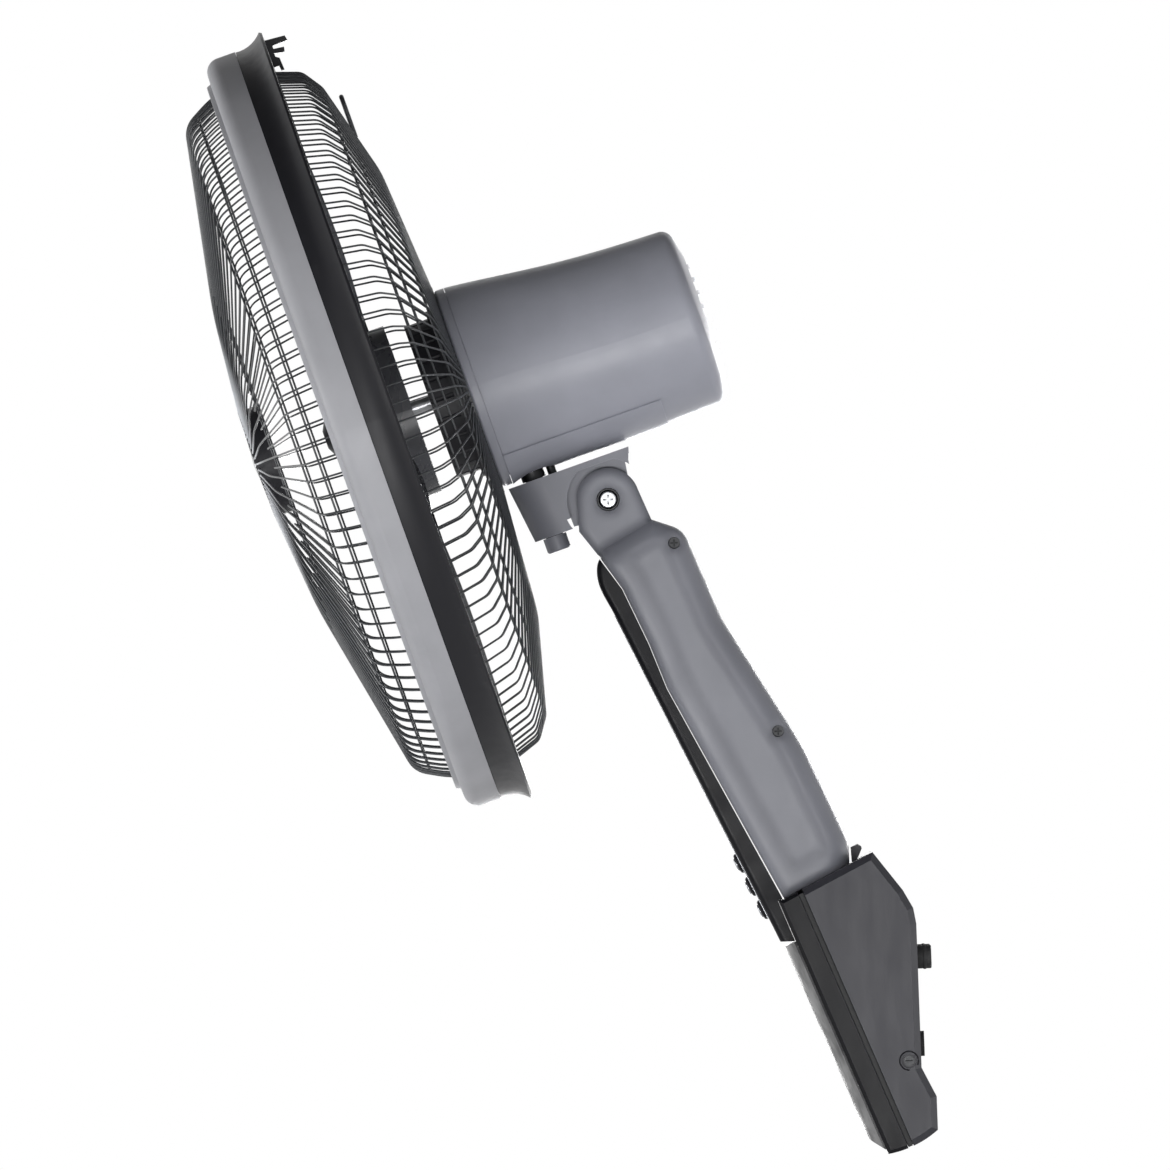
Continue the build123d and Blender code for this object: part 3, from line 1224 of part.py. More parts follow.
def terminal_block():
    back = PLATE_FACE_Y - 2 * SEAT - PLATE_THICK
    body = box_between((24, back - 11, -26), (46, back, -14))
    for i in range(3):
        body -= along_y(1.8, back - 12, back - 4, 28.5 + 6.5 * i, -20)
    return body


def cord_inlet():
    """Grommet in the back of the base for the mains lead, empty here."""
    inside = PLATE_FACE_Y - SEAT
    body = along_y(INLET_R, inside - 1.6, REAR_FACE_Y + 2.4, 0, INLET_Z)
    body += along_y(INLET_R + 2, inside - 1.6, inside, 0, INLET_Z)
    body += along_y(INLET_R + 1, REAR_FACE_Y + SEAT, REAR_FACE_Y + 2.4, 0, INLET_Z)
    return body - along_y(3.5, inside - 3, REAR_FACE_Y + 3, 0, INLET_Z)


# ---------------------------------------------------------------- the nodes
front_wires, front_rings = front_guard()
rear_wires, rear_rings = rear_guard()
plate_low = COLLAR_FRONT + SEAT

in_head = {
    "shaft": along_z(SHAFT_R, SHAFT_REAR, SHAFT_FRONT),
    "rotor_core": along_z(ROTOR_CORE_R, STATOR_REAR, STATOR_FRONT) - along_z(SHAFT_R + SEAT, -130, -70),
    "fan_blade": fan_blade(),
    "blade_nut": blade_nut(),
    "front_guard_wires": front_wires,
    "front_guard_rings": front_rings,
    "rear_guard_wires": rear_wires,
    "rear_guard_rings": rear_rings,
    "rear_guard_plate": along_z(GUARD_PLATE_R, plate_low, plate_low + GUARD_PLATE_THICK)
    - along_z(29.6 + SEAT, -60, -50),
    "guard_ring_front": clamp_ring_front(),
    "guard_ring_rear": clamp_ring_rear(),
    "guard_centre_disc": centre_disc(),
    "guard_centre_cap": centre_cap(),
    "guard_hook": guard_hook(),
    "guard_clip": guard_clip(),
    "guard_nut": guard_nut(),
    "motor_collar": motor_collar(),
    "motor_rear_cover": motor_rear_cover(),
    "motor_cover_screws": motor_cover_screws(),
    "motor_front_bracket": motor_front_bracket(),
    "motor_rear_bracket": motor_rear_bracket(),
    "tie_screws": tie_screws(),
    "case_screws": case_screws(),
    "front_bearing": bearing(BRACKET_FRONT, SHAFT_R),
    "rear_bearing": bearing(BRACKET_REAR, SHAFT_R),
    "stator_core": stator_core(),
    "stator_windings": stator_windings(),
    "gear_case": gear_case(),
    "swing_drive": swing_drive(),
    "pan_pin": pan_pin(),
    "pan_retainer": pan_retainer(),
    "neck_bracket": neck_bracket(),
    "pan_bush": pan_bush(),
    "drive_pin": drive_pin(),
}
nodes = {name: HEAD * shape for name, shape in in_head.items()}
nodes.update(
    {
        "arm_shell_left": arm_half(-1),
        "arm_shell_right": arm_half(1),
        "arm_front_cover": arm_front_cover(),
        "arm_trim": arm_trim(),
        "arm_screws": arm_screws(),
        "arm_spine": arm_spine(),
        "root_screws": root_screws(),
        "tilt_bolt": tilt_bolt(),
        "tilt_nut": tilt_nut(),
        "tilt_washers": tilt_washers(),
        "button_high": button(0),
        "button_low": button(1),
        "button_off": button(2),
        "switch_block": switch_block(),
        "base_rear_shell": base_rear_shell(),
        "base_front_frame": base_front_frame(),
        "base_front_panel": base_front_panel(),
        "wall_bushes": wall_bushes(),
        "lock_screws": lock_screws(),
        "mounting_plate": mounting_plate(),
        "control_board": control_board(),
        "board_posts": board_posts(),
        "board_screws": board_screws(),
        "run_capacitor": run_capacitor(),
        "terminal_block": terminal_block(),
        "cord_inlet": cord_inlet(),
    }
)
for name, shape in nodes.items():
    export_step(shape, f"parts/{name}.step")
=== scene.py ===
"""Wall mounted fan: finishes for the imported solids, the fine pieces on them, light and camera.

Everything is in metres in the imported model's own frame: the wall is the plane Y = 0, the fan
faces -Y, Z is up and the origin is the centre of the four wall screws.
"""

import bpy
import bmesh
import json
from math import cos, radians, sin
from bpy.props import FloatProperty, FloatVectorProperty, PointerProperty
from mathutils import Matrix, Vector


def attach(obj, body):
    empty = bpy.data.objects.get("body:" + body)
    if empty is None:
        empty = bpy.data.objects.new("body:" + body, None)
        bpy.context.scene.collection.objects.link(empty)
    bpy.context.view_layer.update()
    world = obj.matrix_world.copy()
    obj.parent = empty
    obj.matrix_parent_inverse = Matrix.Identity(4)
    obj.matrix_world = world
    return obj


bl_info = {
    "name": "Wall fan",
    "version": (1, 0, 0),
    "blender": (4, 5, 0),
    "location": "View3D > Sidebar > Wall fan",
    "description": "Finishes and fine pieces of a wall mounted fan",
    "category": "Object",
}

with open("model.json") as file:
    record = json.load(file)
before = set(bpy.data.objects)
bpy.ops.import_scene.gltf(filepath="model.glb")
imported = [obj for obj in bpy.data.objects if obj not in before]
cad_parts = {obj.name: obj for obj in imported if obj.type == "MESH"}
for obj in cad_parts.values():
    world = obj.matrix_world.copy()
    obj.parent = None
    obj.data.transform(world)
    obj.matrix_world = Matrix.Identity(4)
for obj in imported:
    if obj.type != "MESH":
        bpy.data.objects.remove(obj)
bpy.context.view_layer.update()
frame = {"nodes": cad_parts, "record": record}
NODES = frame["nodes"]

MM = 0.001
ACROSS = Vector((1, 0, 0))
SIDES = (("left", -1), ("right", 1))

# Centre of the guard's clamp ring, top of the base's front, top of the arm's front and the
# bolt that the neck tilts on.
FAN_CENTRE = Vector((0, -0.2998, 0.3502))
BASE_TOP = Vector((0, -0.0835, 0.0768))
ARM_TOP = Vector((0, -0.1684, 0.2387))
TILT_AXIS = Vector((0, -0.1699, 0.3033))

# How far each front looks down.
FAN_TILT = radians(17.5)
BASE_LEAN = radians(21.45)
ARM_LEAN = radians(24.82)

# Millimetres from the centre of the four wall screws: across, out from the wall, up.
LOCK_SCREW = (57.95, 14.6, -13.7)
BUSH = (35.0, 0.0, 43.4)

# Each button and its distance down the arm's front, in millimetres.
BUTTONS = (("high", 153.97), ("low", 168.37), ("off", 182.77))


def front_frame(place, drop):
    """Frame of a face whose front looks out from the wall, turned down by drop."""
    front = Vector((0, -cos(drop), -sin(drop)))
    turn = Matrix((ACROSS, front.cross(ACROSS), front)).transposed().to_4x4()
    return Matrix.Translation(place) @ turn


# Turns of a lathed shape's axis: to the side of the fan, and straight out from the wall.
TO_SIDE = Matrix.Rotation(radians(90), 4, "Y")
FROM_WALL = Matrix.Rotation(radians(90), 4, "X")

HEAD = front_frame(FAN_CENTRE, FAN_TILT)
BASE_FRONT = front_frame(BASE_TOP, BASE_LEAN)
ARM_FRONT = front_frame(ARM_TOP, ARM_LEAN)
TILT_BOLT = Matrix.Translation(TILT_AXIS) @ TO_SIDE


def beside(place, side):
    """A place given for the right side, moved to the side asked for."""
    across, out, up = place
    return Matrix.Translation((side * across * MM, -out * MM, up * MM))


# ---------------------------------------------------------------- properties
def colour(name, text, value):
    """A colour property, in linear red, green and blue."""
    return FloatVectorProperty(
        name=name, description=text, subtype="COLOR", size=3, min=0, max=1, default=value
    )


class FanFinishes(bpy.types.PropertyGroup):
    """Colours of the fan."""

    grey: colour("Grey", "Moulded grey of the arm, neck and motor", (0.215, 0.220, 0.252))
    ring_grey: colour("Ring grey", "Moulded grey of the clamp ring", (0.400, 0.403, 0.430))
    black: colour("Black", "Moulded black of the base and rear ring", (0.034, 0.034, 0.042))
    gloss: colour("Gloss black", "Polished black of the fascia and arm cover", (0.008, 0.008, 0.010))
    wire: colour("Wire", "Powder coat of the guard wires", (0.040, 0.043, 0.048))
    bright: colour("Bright", "Plated trim, buttons and centre cap", (0.36, 0.37, 0.39))
    steel: colour("Steel", "Zinc plated screws and sheet", (0.56, 0.57, 0.59))


class FanStage(bpy.types.PropertyGroup):
    """Camera and floor."""

    camera_distance: FloatProperty(
        name="Camera distance", description="From the fan's middle plane", default=24.0, unit="LENGTH"
    )
    frame_width: FloatProperty(
        name="Frame width", description="Width of the picture at the fan", default=0.650, unit="LENGTH"
    )
    roll: FloatProperty(
        name="Camera roll", description="Turn of the picture", default=radians(2.1), subtype="ANGLE"
    )
    floor_drop: FloatProperty(
        name="Floor", description="Floor's height in the model's frame", default=-0.45, unit="LENGTH"
    )


# ---------------------------------------------------------------- materials
# Every finish under its name, so that a solid's own plain material isn't taken for it.
FINISHES = {}

# Nodes whose finish isn't the one named by their material slot.
FINISH_OF = {
    "base_front_frame": "frame_black_painted_groove_shade",
    "base_front_panel": "fascia_black",
    "front_guard_wires": "wire_front_painted_highlight",
}


class Shader:
    """A node tree with a Principled shader, built up by short calls."""

    def __init__(self, name):
        self.material = FINISHES[name] = bpy.data.materials.new(name)
        self.material.use_nodes = True
        self.tree = self.material.node_tree
        self.bsdf = self.tree.nodes["Principled BSDF"]
        self.coord = self.node("ShaderNodeTexCoord").outputs["Object"]

    def node(self, kind, **inputs):
        """A new node with its inputs set, an underscore standing for a space in their names."""
        made = self.tree.nodes.new(kind)
        for key, value in inputs.items():
            self.feed(made.inputs[key.replace("_", " ")], value)
        return made

    def feed(self, socket, value):
        """Link an output to a socket, or put a constant on it."""
        if isinstance(value, bpy.types.NodeSocket):
            self.tree.links.new(value, socket)
        else:
            socket.default_value = value

    def set(self, **inputs):
        """Set inputs of the Principled shader itself."""
        for key, value in inputs.items():
            self.feed(self.bsdf.inputs[key.replace("_", " ")], value)

    def place(self, scale=(1, 1, 1), turn=(0, 0, 0)):
        """Object coordinates, stretched and turned."""
        mapping = self.node("ShaderNodeMapping", Vector=self.coord, Rotation=turn, Scale=scale)
        return mapping.outputs["Vector"]

    def noise(self, size, detail=3.0, roughness=0.55, where=None):
        """Noise with features of about size metres."""
        made = self.node("ShaderNodeTexNoise", Scale=1.0 / size, Detail=detail, Roughness=roughness)
        self.feed(made.inputs["Vector"], where or self.coord)
        return made.outputs["Fac"]

    def span(self, value, low, high, start=0.0, end=1.0):
        """The stretch of value from start to end, laid out from low to high."""
        made = self.node("ShaderNodeMapRange", Value=value)
        for key, number in (("From Min", start), ("From Max", end), ("To Min", low), ("To Max", high)):
            made.inputs[key].default_value = number
        return made.outputs["Result"]

    def tint(self, fac, dark, light):
        """A colour that runs from dark to light with fac."""
        made = self.node("ShaderNodeMix")
        made.data_type = "RGBA"
        self.feed(made.inputs[0], fac)
        made.inputs[6].default_value = (*dark, 1)
        made.inputs[7].default_value = (*light, 1)
        return made.outputs[2]

    def edge(self, radius):
        """1 along the edges that hands and cloths rub, 0 on the open faces."""
        sharp, open_face = 0.80, 0.985
        rounded = self.node("ShaderNodeBevel", Radius=radius)
        rounded.samples = 4
        normal = self.node("ShaderNodeNewGeometry").outputs["Normal"]
        near = self.node("ShaderNodeVectorMath")
        near.operation = "DOT_PRODUCT"
        self.feed(near.inputs[0], rounded.outputs["Normal"])
        self.feed(near.inputs[1], normal)
        return self.span(near.outputs["Value"], 1.0, 0.0, start=sharp, end=open_face)

    def cavity(self, reach):
        """0 in recesses narrower than reach, 1 in the open."""
        closed_in, open_air = 0.35, 0.85
        made = self.node("ShaderNodeAmbientOcclusion", Distance=reach)
        made.samples = 6
        return self.span(made.outputs["AO"], 0.0, 1.0, start=closed_in, end=open_air)

    def from_fan_axis(self):
        """Distance from the axis of the fan, in metres."""
        mapping = self.node("ShaderNodeMapping", Vector=self.coord)
        mapping.vector_type = "TEXTURE"
        mapping.inputs["Location"].default_value = FAN_CENTRE
        mapping.inputs["Rotation"].default_value = HEAD.to_euler()
        flat = self.node("ShaderNodeVectorMath", Vector=mapping.outputs["Vector"])
        flat.operation = "MULTIPLY"
        flat.inputs[1].default_value = (1, 1, 0)
        size = self.node("ShaderNodeVectorMath")
        size.operation = "LENGTH"
        self.feed(size.inputs[0], flat.outputs["Vector"])
        return size.outputs["Value"]

    def blend(self, fac, under, over):
        """The colour over laid on the colour under where fac is 1."""
        made = self.node("ShaderNodeMix")
        made.data_type = "RGBA"
        self.feed(made.inputs[0], fac)
        self.feed(made.inputs[6], under)
        made.inputs[7].default_value = (*over, 1)
        return made.outputs[2]

    def bump(self, height, strength, distance):
        """Lay a relief over what already bends the shader's normal."""
        made = self.node("ShaderNodeBump", Strength=strength, Distance=distance, Height=height)
        if self.bsdf.inputs["Normal"].is_linked:
            self.tree.links.new(self.bsdf.inputs["Normal"].links[0].from_socket, made.inputs["Normal"])
        self.tree.links.new(made.outputs["Normal"], self.bsdf.inputs["Normal"])


def shade(base, factor):
    """A colour made lighter or darker."""
    return tuple(min(1.0, c * factor) for c in base)


def moulded(name, base, rough, gloss=0.5, rub=1.35, soft=0.0):
    """Moulded plastic: cloudy colour, spark-eroded grain, handling marks and rubbed edges.

    Rubbed edges are rub times as light as the faces. The light sees the edges rounded by soft
    metres.
    """
    grain, cloud, mark, wave, worn_edge = 0.0004, 0.045, 0.012, 0.03, 0.0007
    sheen = 0.04
    s = Shader(name)
    clouds = s.span(s.noise(cloud, 4.0), 0, 1, start=0.3, end=0.7)
    skin = s.tint(clouds, shade(base, 0.93), shade(base, 1.07))
    s.set(Base_Color=s.blend(s.edge(worn_edge), skin, shade(base, rub)))
    marks = s.noise(mark, 5.0, 0.7, s.place((1, 1, 0.25)))
    s.set(Roughness=s.span(marks, rough - sheen, rough + sheen, start=0.35, end=0.65))
    s.set(Specular_IOR_Level=gloss, IOR=1.5)
    if soft:
        rounded = s.node("ShaderNodeBevel", Radius=soft)
        rounded.samples = 8
        s.set(Normal=rounded.outputs["Normal"])
    s.bump(s.noise(grain, 2.0), strength=0.10, distance=0.00005)
    s.bump(s.noise(wave, 2.0), strength=0.06, distance=0.0006)


def polished(name, base, gloss=0.12):
    """Polished black plastic with a hard gloss, faint ripple, dust and rubbed edges."""
    speck, smear, ripple, worn_edge = 0.0016, 0.02, 0.018, 0.0005
    wiped, smeared = 0.28, 0.504
    s = Shader(name)
    dust = s.span(s.noise(speck, 6.0, 0.75), 0, 1, start=0.62, end=0.75)
    skin = s.tint(dust, base, shade(base, 2.2))
    s.set(Base_Color=s.blend(s.edge(worn_edge), skin, shade(base, 3.0)))
    s.set(Roughness=s.span(s.noise(smear, 4.0, 0.6), wiped, smeared, start=0.4, end=0.75))
    s.set(Specular_IOR_Level=gloss, IOR=1.5)
    s.bump(s.noise(ripple, 2.0), strength=0.05, distance=0.0004)


def powder_coat(name, base, rough=0.42, centre=None):
    """Powder coated wire with a fine orange-peel surface.

    Where centre is given, the wires take that colour round the fan's axis, as a painted highlight on
    the wires near the middle.
    """
    cloud, patch, peel = 0.02, 0.004, 0.0005
    highlight_radius, highlight_end_radius = 0.040, 0.085
    s = Shader(name)
    skin = s.tint(s.noise(cloud, 3.0), shade(base, 0.8), shade(base, 1.3))
    if centre:
        # Painted highlight: the wires near the fan's axis are painted the bright centre colour.
        near = s.span(s.from_fan_axis(), 1.0, 0.0, start=highlight_radius, end=highlight_end_radius)
        skin = s.blend(near, skin, centre)
    s.set(Base_Color=skin)
    s.set(Roughness=s.span(s.noise(patch, 3.0), rough - 0.08, rough + 0.1))
    s.bump(s.noise(peel, 2.0), strength=0.2, distance=0.00006)


def metal(name, base, rough, brush=(1, 1, 1), blemish=0.85):
    """Metal with fine brushing along the axis with the smallest scale, dull patches and painted shade
    in its recesses.
    """
    patch, line, worn_edge, recess = 0.009, 0.0006, 0.0004, 0.0015
    s = Shader(name)
    dull = s.span(s.noise(patch, 4.0, 0.65), 0, 1, start=0.35, end=0.7)
    skin = s.tint(dull, shade(base, blemish), base)
    worn = s.blend(s.edge(worn_edge), skin, shade(base, 1.25))
    # Painted shade: recesses narrower than recess are darkened towards a tenth of the colour.
    recess_painted_shade = s.span(s.cavity(recess), 1.0, 0.0)
    s.set(Base_Color=s.blend(recess_painted_shade, worn, shade(base, 0.10)))
    lines = s.noise(line, 3.0, 0.6, s.place(brush))
    s.set(Roughness=s.span(lines, rough * 0.75, rough * 1.3), Metallic=1.0)
    s.bump(lines, strength=0.08, distance=0.00004)


def winding(name):
    """Varnished copper wires wound round the coil heads."""
    gap, copper = (0.13, 0.030, 0.010), (0.52, 0.17, 0.06)
    s = Shader(name)
    wave = s.node("ShaderNodeTexWave", Scale=900.0, Distortion=1.5, Detail=1.0)
    s.feed(wave.inputs["Vector"], s.place((1, 0.4, 1)))
    strand = wave.outputs["Fac"]
    s.set(Base_Color=s.tint(strand, gap, copper))
    s.set(Roughness=s.span(s.noise(0.003), 0.25, 0.5), Metallic=0.6)
    s.bump(strand, strength=0.5, distance=0.0003)


def laminated(name):
    """Oiled stack of thin steel sheets."""
    joint, sheet = (0.10, 0.10, 0.11), (0.34, 0.34, 0.36)
    s = Shader(name)
    wave = s.node("ShaderNodeTexWave", Scale=320.0, Distortion=0.0)
    s.feed(wave.inputs["Vector"], s.place((0, 1, 0), (-FAN_TILT, 0, 0)))
    s.set(Base_Color=s.tint(wave.outputs["Fac"], joint, sheet))
    s.set(Roughness=s.span(s.noise(0.005), 0.3, 0.5), Metallic=0.9)
    s.bump(wave.outputs["Fac"], strength=0.4, distance=0.0002)


def circuit(name):
    """Green solder resist with lighter tracks."""
    s = Shader(name)
    brick = s.node("ShaderNodeTexBrick", Scale=140.0)
    s.feed(brick.inputs["Vector"], s.place((1, 0, 1), (radians(90), 0, 0)))
    brick.inputs["Color1"].default_value = (0.010, 0.070, 0.028, 1)
    brick.inputs["Color2"].default_value = (0.014, 0.090, 0.036, 1)
    brick.inputs["Mortar"].default_value = (0.05, 0.20, 0.08, 1)
    s.set(Base_Color=brick.outputs["Color"], Roughness=s.span(s.noise(0.004), 0.25, 0.45))
    s.bump(brick.outputs["Fac"], strength=0.2, distance=0.0001)


def rubber(name, base):
    """Dull black rubber with a fine grain."""
    s = Shader(name)
    s.set(Base_Color=s.tint(s.noise(0.006, 4.0), shade(base, 0.8), shade(base, 1.4)))
    s.set(Roughness=s.span(s.noise(0.002), 0.6, 0.8))
    s.bump(s.noise(0.0007, 3.0), strength=0.25, distance=0.0001)


def make_finishes():
    """One material for each slot of the record, and those that FINISH_OF names."""
    look = bpy.context.scene.fan_finishes
    grey, black, steel = tuple(look.grey), tuple(look.black), tuple(look.steel)
    moulded("arm_grey", grey, 0.42, soft=0.009)
    moulded("bracket_grey", shade(grey, 0.95), 0.45)
    # The motor's grey is the arm's grey made 1.7 times as light: partly a lighter moulding, partly
    # painted light for the light and sheen the motor catches.
    moulded("motor_grey", shade(grey, 1.70), 0.38)
    moulded("ring_grey", tuple(look.ring_grey), 0.50, gloss=0.4)
    moulded("ring_black", shade(black, 0.40), 0.42, gloss=0.25)
    moulded("base_black", black, 0.45, gloss=0.35)
    # The front frame's black is the base's black made darker: partly a darker moulding, partly painted
    # shade that also darkens the floor of the groove.
    moulded("frame_black_painted_groove_shade", shade(black, 0.18), 0.34, gloss=0.12, rub=6.0)
    moulded("hub_black", shade(black, 0.5), 0.45, gloss=0.3)
    polished("gloss_black", tuple(look.gloss))
    polished("fascia_black", tuple(look.gloss), gloss=0.22)
    powder_coat("wire_dark", tuple(look.wire))
    # The front wires carry a painted highlight near the fan's axis.
    powder_coat("wire_front_painted_highlight", tuple(look.wire), 0.32, centre=shade(tuple(look.bright), 1.9))
    moulded("blade_plastic", shade(grey, 0.35), 0.28)
    metal("bright_trim", tuple(look.bright), 0.14, blemish=0.95)
    metal("steel", steel, 0.30, (1, 0.2, 1))
    metal("dark_steel", shade(steel, 0.07), 0.40, (1, 1, 0.2))
    metal("sheet_steel", shade(steel, 0.9), 0.34, (0.1, 1, 1))
    laminated("lamination")
    winding("winding")
    metal("cast_alloy", (0.50, 0.51, 0.53), 0.55, blemish=0.75)
    metal("bronze", (0.52, 0.36, 0.16), 0.42, blemish=0.7)
    circuit("board_green")
    moulded("part_white", (0.62, 0.61, 0.57), 0.5)
    rubber("rubber_black", (0.020, 0.020, 0.021))


def dress(piece, finish):
    """Give a piece one finish, in place of what it has."""
    piece.data.materials.clear()
    piece.data.materials.append(FINISHES[finish])


class FAN_OT_finish_solids(bpy.types.Operator):
    """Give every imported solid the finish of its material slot"""

    bl_idname = "fan.finish_solids"
    bl_label = "Finish solids"

    def execute(self, context):
        make_finishes()
        for part in frame["record"]["subparts"]:
            node = part["node"]
            dress(NODES[node], FINISH_OF.get(node, part["material_slot"]))
        return {"FINISHED"}


# ---------------------------------------------------------------- modelling
def fresh(add, **where):
    """Add a primitive with nothing else selected."""
    bpy.ops.object.select_all(action="DESELECT")
    add(**where)
    return bpy.context.object


def pick_faces(piece, test):
    """Select, in edit mode, the faces whose centre and normal pass the test."""
    bpy.ops.mesh.select_mode(type="FACE")
    bpy.ops.mesh.select_all(action="DESELECT")
    mesh = bmesh.from_edit_mesh(piece.data)
    for face in mesh.faces:
        face.select_set(test(face.calc_center_median(), face.normal))
    bmesh.update_edit_mesh(piece.data)


def merged():
    """Close seams and turn all faces outwards, in edit mode."""
    bpy.ops.mesh.select_all(action="SELECT")
    bpy.ops.mesh.remove_doubles(threshold=0.000005)
    bpy.ops.mesh.normals_make_consistent(inside=False)


def lathe(profile, steps=64, closed=True):
    """A circle pulled through (radius, height) points in millimetres.

    A closed profile makes a ring; an open one is filled flat at both ends.
    """
    (radius, height), points = profile[0], profile[1:] + (profile[:1] if closed else ())
    piece = fresh(bpy.ops.mesh.primitive_circle_add, vertices=steps, radius=radius * MM)
    bpy.ops.object.mode_set(mode="EDIT")
    bpy.ops.mesh.select_all(action="SELECT")
    bpy.ops.transform.translate(value=(0, 0, height * MM))
    for r, h in points:
        bpy.ops.mesh.extrude_region_move(TRANSFORM_OT_translate={"value": (0, 0, (h - height) * MM)})
        bpy.ops.transform.resize(value=(r / radius, r / radius, 1), center_override=(0, 0, 0))
        radius, height = r, h
    if not closed:
        bpy.ops.mesh.select_all(action="SELECT")
        bpy.ops.mesh.fill_holes(sides=0)
    merged()
    bpy.ops.object.mode_set(mode="OBJECT")
    return piece


def bevelled(piece, width):
    """Round the sharp edges of a piece."""
    made = piece.modifiers.new("bevel", "BEVEL")
    made.width, made.segments, made.limit_method = width, 2, "ANGLE"
    bpy.ops.object.modifier_apply(modifier=made.name)


def settle(piece, name, body, slot, place=Matrix()):
    """Put a finished shape in its place, smooth it, give it its finish and let it ride."""
    piece.matrix_world = place @ piece.matrix_world
    bpy.ops.object.transform_apply(location=True, rotation=True, scale=True)
    bpy.ops.object.shade_smooth_by_angle(angle=radians(35))
    piece.name = name
    dress(piece, slot)
    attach(piece, body)


class FAN_OT_tilt_recess_shade(bpy.types.Operator):
    """Dark cup round the head of the tilt bolt, a dark piece that paints the shade in the bolt's
    recess
    """

    bl_idname = "fan.tilt_ring"
    bl_label = "Tilt recess shade"

    def execute(self, context):
        # The cup lines the recess round the bolt head in dark steel, as painted shade.
        cup = ((4.85, 15.45), (6.4, 15.45), (6.4, 16.6), (6.1, 17.1), (5.4, 17.1), (4.85, 16.5))
        settle(lathe(cup), "tilt_recess_painted_shade", "base", "dark_steel", TILT_BOLT)
        return {"FINISHED"}


class FAN_OT_buttons(bpy.types.Operator):
    """Black collars on the trim and the dished heads of the three push buttons"""

    bl_idname = "fan.buttons"
    bl_label = "Buttons"

    def execute(self, context):
        collar = ((3.95, 0.42), (5.9, 0.42), (5.8, 0.95), (5.3, 1.8), (4.6, 2.1), (3.95, 1.9))
        head = (
            (3.3, 1.95), (3.75, 2.0), (3.85, 2.2), (3.85, 2.45), (3.7, 2.75), (3.3, 3.0),
            (2.7, 3.12), (2.3, 3.08), (2.1, 2.85), (1.9, 2.8), (0.5, 2.9),
        )
        for number, (name, down) in enumerate(BUTTONS, start=1):
            place = ARM_FRONT @ Matrix.Translation((0, -down * MM, 0))
            settle(lathe(collar), f"button_collar_{name}", "base", "gloss_black", place)
            knob = lathe(head, closed=False)
            settle(knob, f"button_head_{name}", f"button_{number}", "bright_trim", place)
        return {"FINISHED"}


class FAN_OT_groove_liner_shade(bpy.types.Operator):
    """Black liner in the groove round the base; its black is partly painted shade where the groove is
    shaded
    """

    bl_idname = "fan.base_gasket"
    bl_label = "Groove liner shade"

    def execute(self, context):
        half_width, wall, thickness = 57.2 * MM, 1.8 * MM, 3.0 * MM
        top, bottom, depth = 6.0 * MM, -153.3 * MM, 13.05 * MM
        open_top = -0.6 * MM
        liner = fresh(
            bpy.ops.mesh.primitive_cube_add,
            size=1,
            location=(0, (top + bottom) / 2, -depth),
            scale=(2 * half_width, top - bottom, thickness),
        )
        bpy.ops.object.transform_apply(location=True, rotation=True, scale=True)
        bpy.ops.object.mode_set(mode="EDIT")
        pick_faces(liner, lambda centre, normal: abs(normal.z) > 0.9)
        bpy.ops.mesh.inset(thickness=wall)
        bpy.ops.mesh.delete(type="FACE")
        bpy.ops.mesh.select_mode(type="EDGE")
        bpy.ops.mesh.select_non_manifold()
        bpy.ops.mesh.bridge_edge_loops()
        bpy.ops.mesh.select_all(action="SELECT")
        bpy.ops.mesh.bisect(
            plane_co=(0, open_top, 0), plane_no=(0, 1, 0), use_fill=True, clear_outer=True
        )
        merged()
        bpy.ops.object.mode_set(mode="OBJECT")
        bevelled(liner, 0.5 * MM)
        # The liner's black is partly painted shade where the groove is shaded.
        settle(liner, "base_gasket", "base", "rubber_black", BASE_FRONT)
        return {"FINISHED"}


class FAN_OT_screw_rims(bpy.types.Operator):
    """Open moulded rims round the two lock screws of the base"""

    bl_idname = "fan.screw_rims"
    bl_label = "Screw rims"

    def execute(self, context):
        thickness, rim_radius, arc = 0.45 * MM, 5.2 * MM, radians(300)
        for name, side in SIDES:
            rim = fresh(
                bpy.ops.mesh.primitive_circle_add,
                vertices=10,
                radius=thickness,
                fill_type="NGON",
                location=(rim_radius, 0, 0),
                rotation=(radians(90), 0, 0),
            )
            bpy.ops.object.mode_set(mode="EDIT")
            bpy.ops.mesh.select_all(action="SELECT")
            bpy.ops.mesh.spin(steps=40, angle=arc, center=(0, 0, 0), axis=(0, 0, 1))
            merged()
            bpy.ops.object.mode_set(mode="OBJECT")
            place = beside(LOCK_SCREW, side) @ TO_SIDE
            settle(rim, f"lock_rim_{name}", "base", "gloss_black", place)
        return {"FINISHED"}


class FAN_OT_bush_bands(bpy.types.Operator):
    """Raised bands round the two stand-off bushes on the wall"""

    bl_idname = "fan.bush_bands"
    bl_label = "Bush bands"

    def execute(self, context):
        band = ((6.52, 2.9), (6.75, 3.1), (6.85, 3.5), (6.85, 4.1), (6.75, 4.5), (6.52, 4.7))
        for name, side in SIDES:
            place = beside(BUSH, side) @ FROM_WALL
            settle(lathe(band, 48), f"bush_band_{name}", "base", "rubber_black", place)
        return {"FINISHED"}


# ---------------------------------------------------------------- stage
FLOOR_RADIUS = 7.0
FADE_START, FADE_END = 0.8, 3.2
AMBIENT = 0.22
SENSOR_WIDTH = 36
PICTURE_CENTRE = (-0.18446, 0.25635)
LAMP_TARGET = (0, -0.2, 0.25)

# Each lamp's place, size and power in watts.
LAMPS = {
    "key": ((2.6, -0.5, -0.7), (2.4, 1.4), 150),
    "far side": ((-2.4, 0.6, 0.1), (2.0, 1.0), 60),
    "front": ((-0.5, -2.8, -0.2), (1.5, 0.8), 24),
    "back": ((-0.6, 2.4, 0.1), (1.5, 0.8), 12),
}


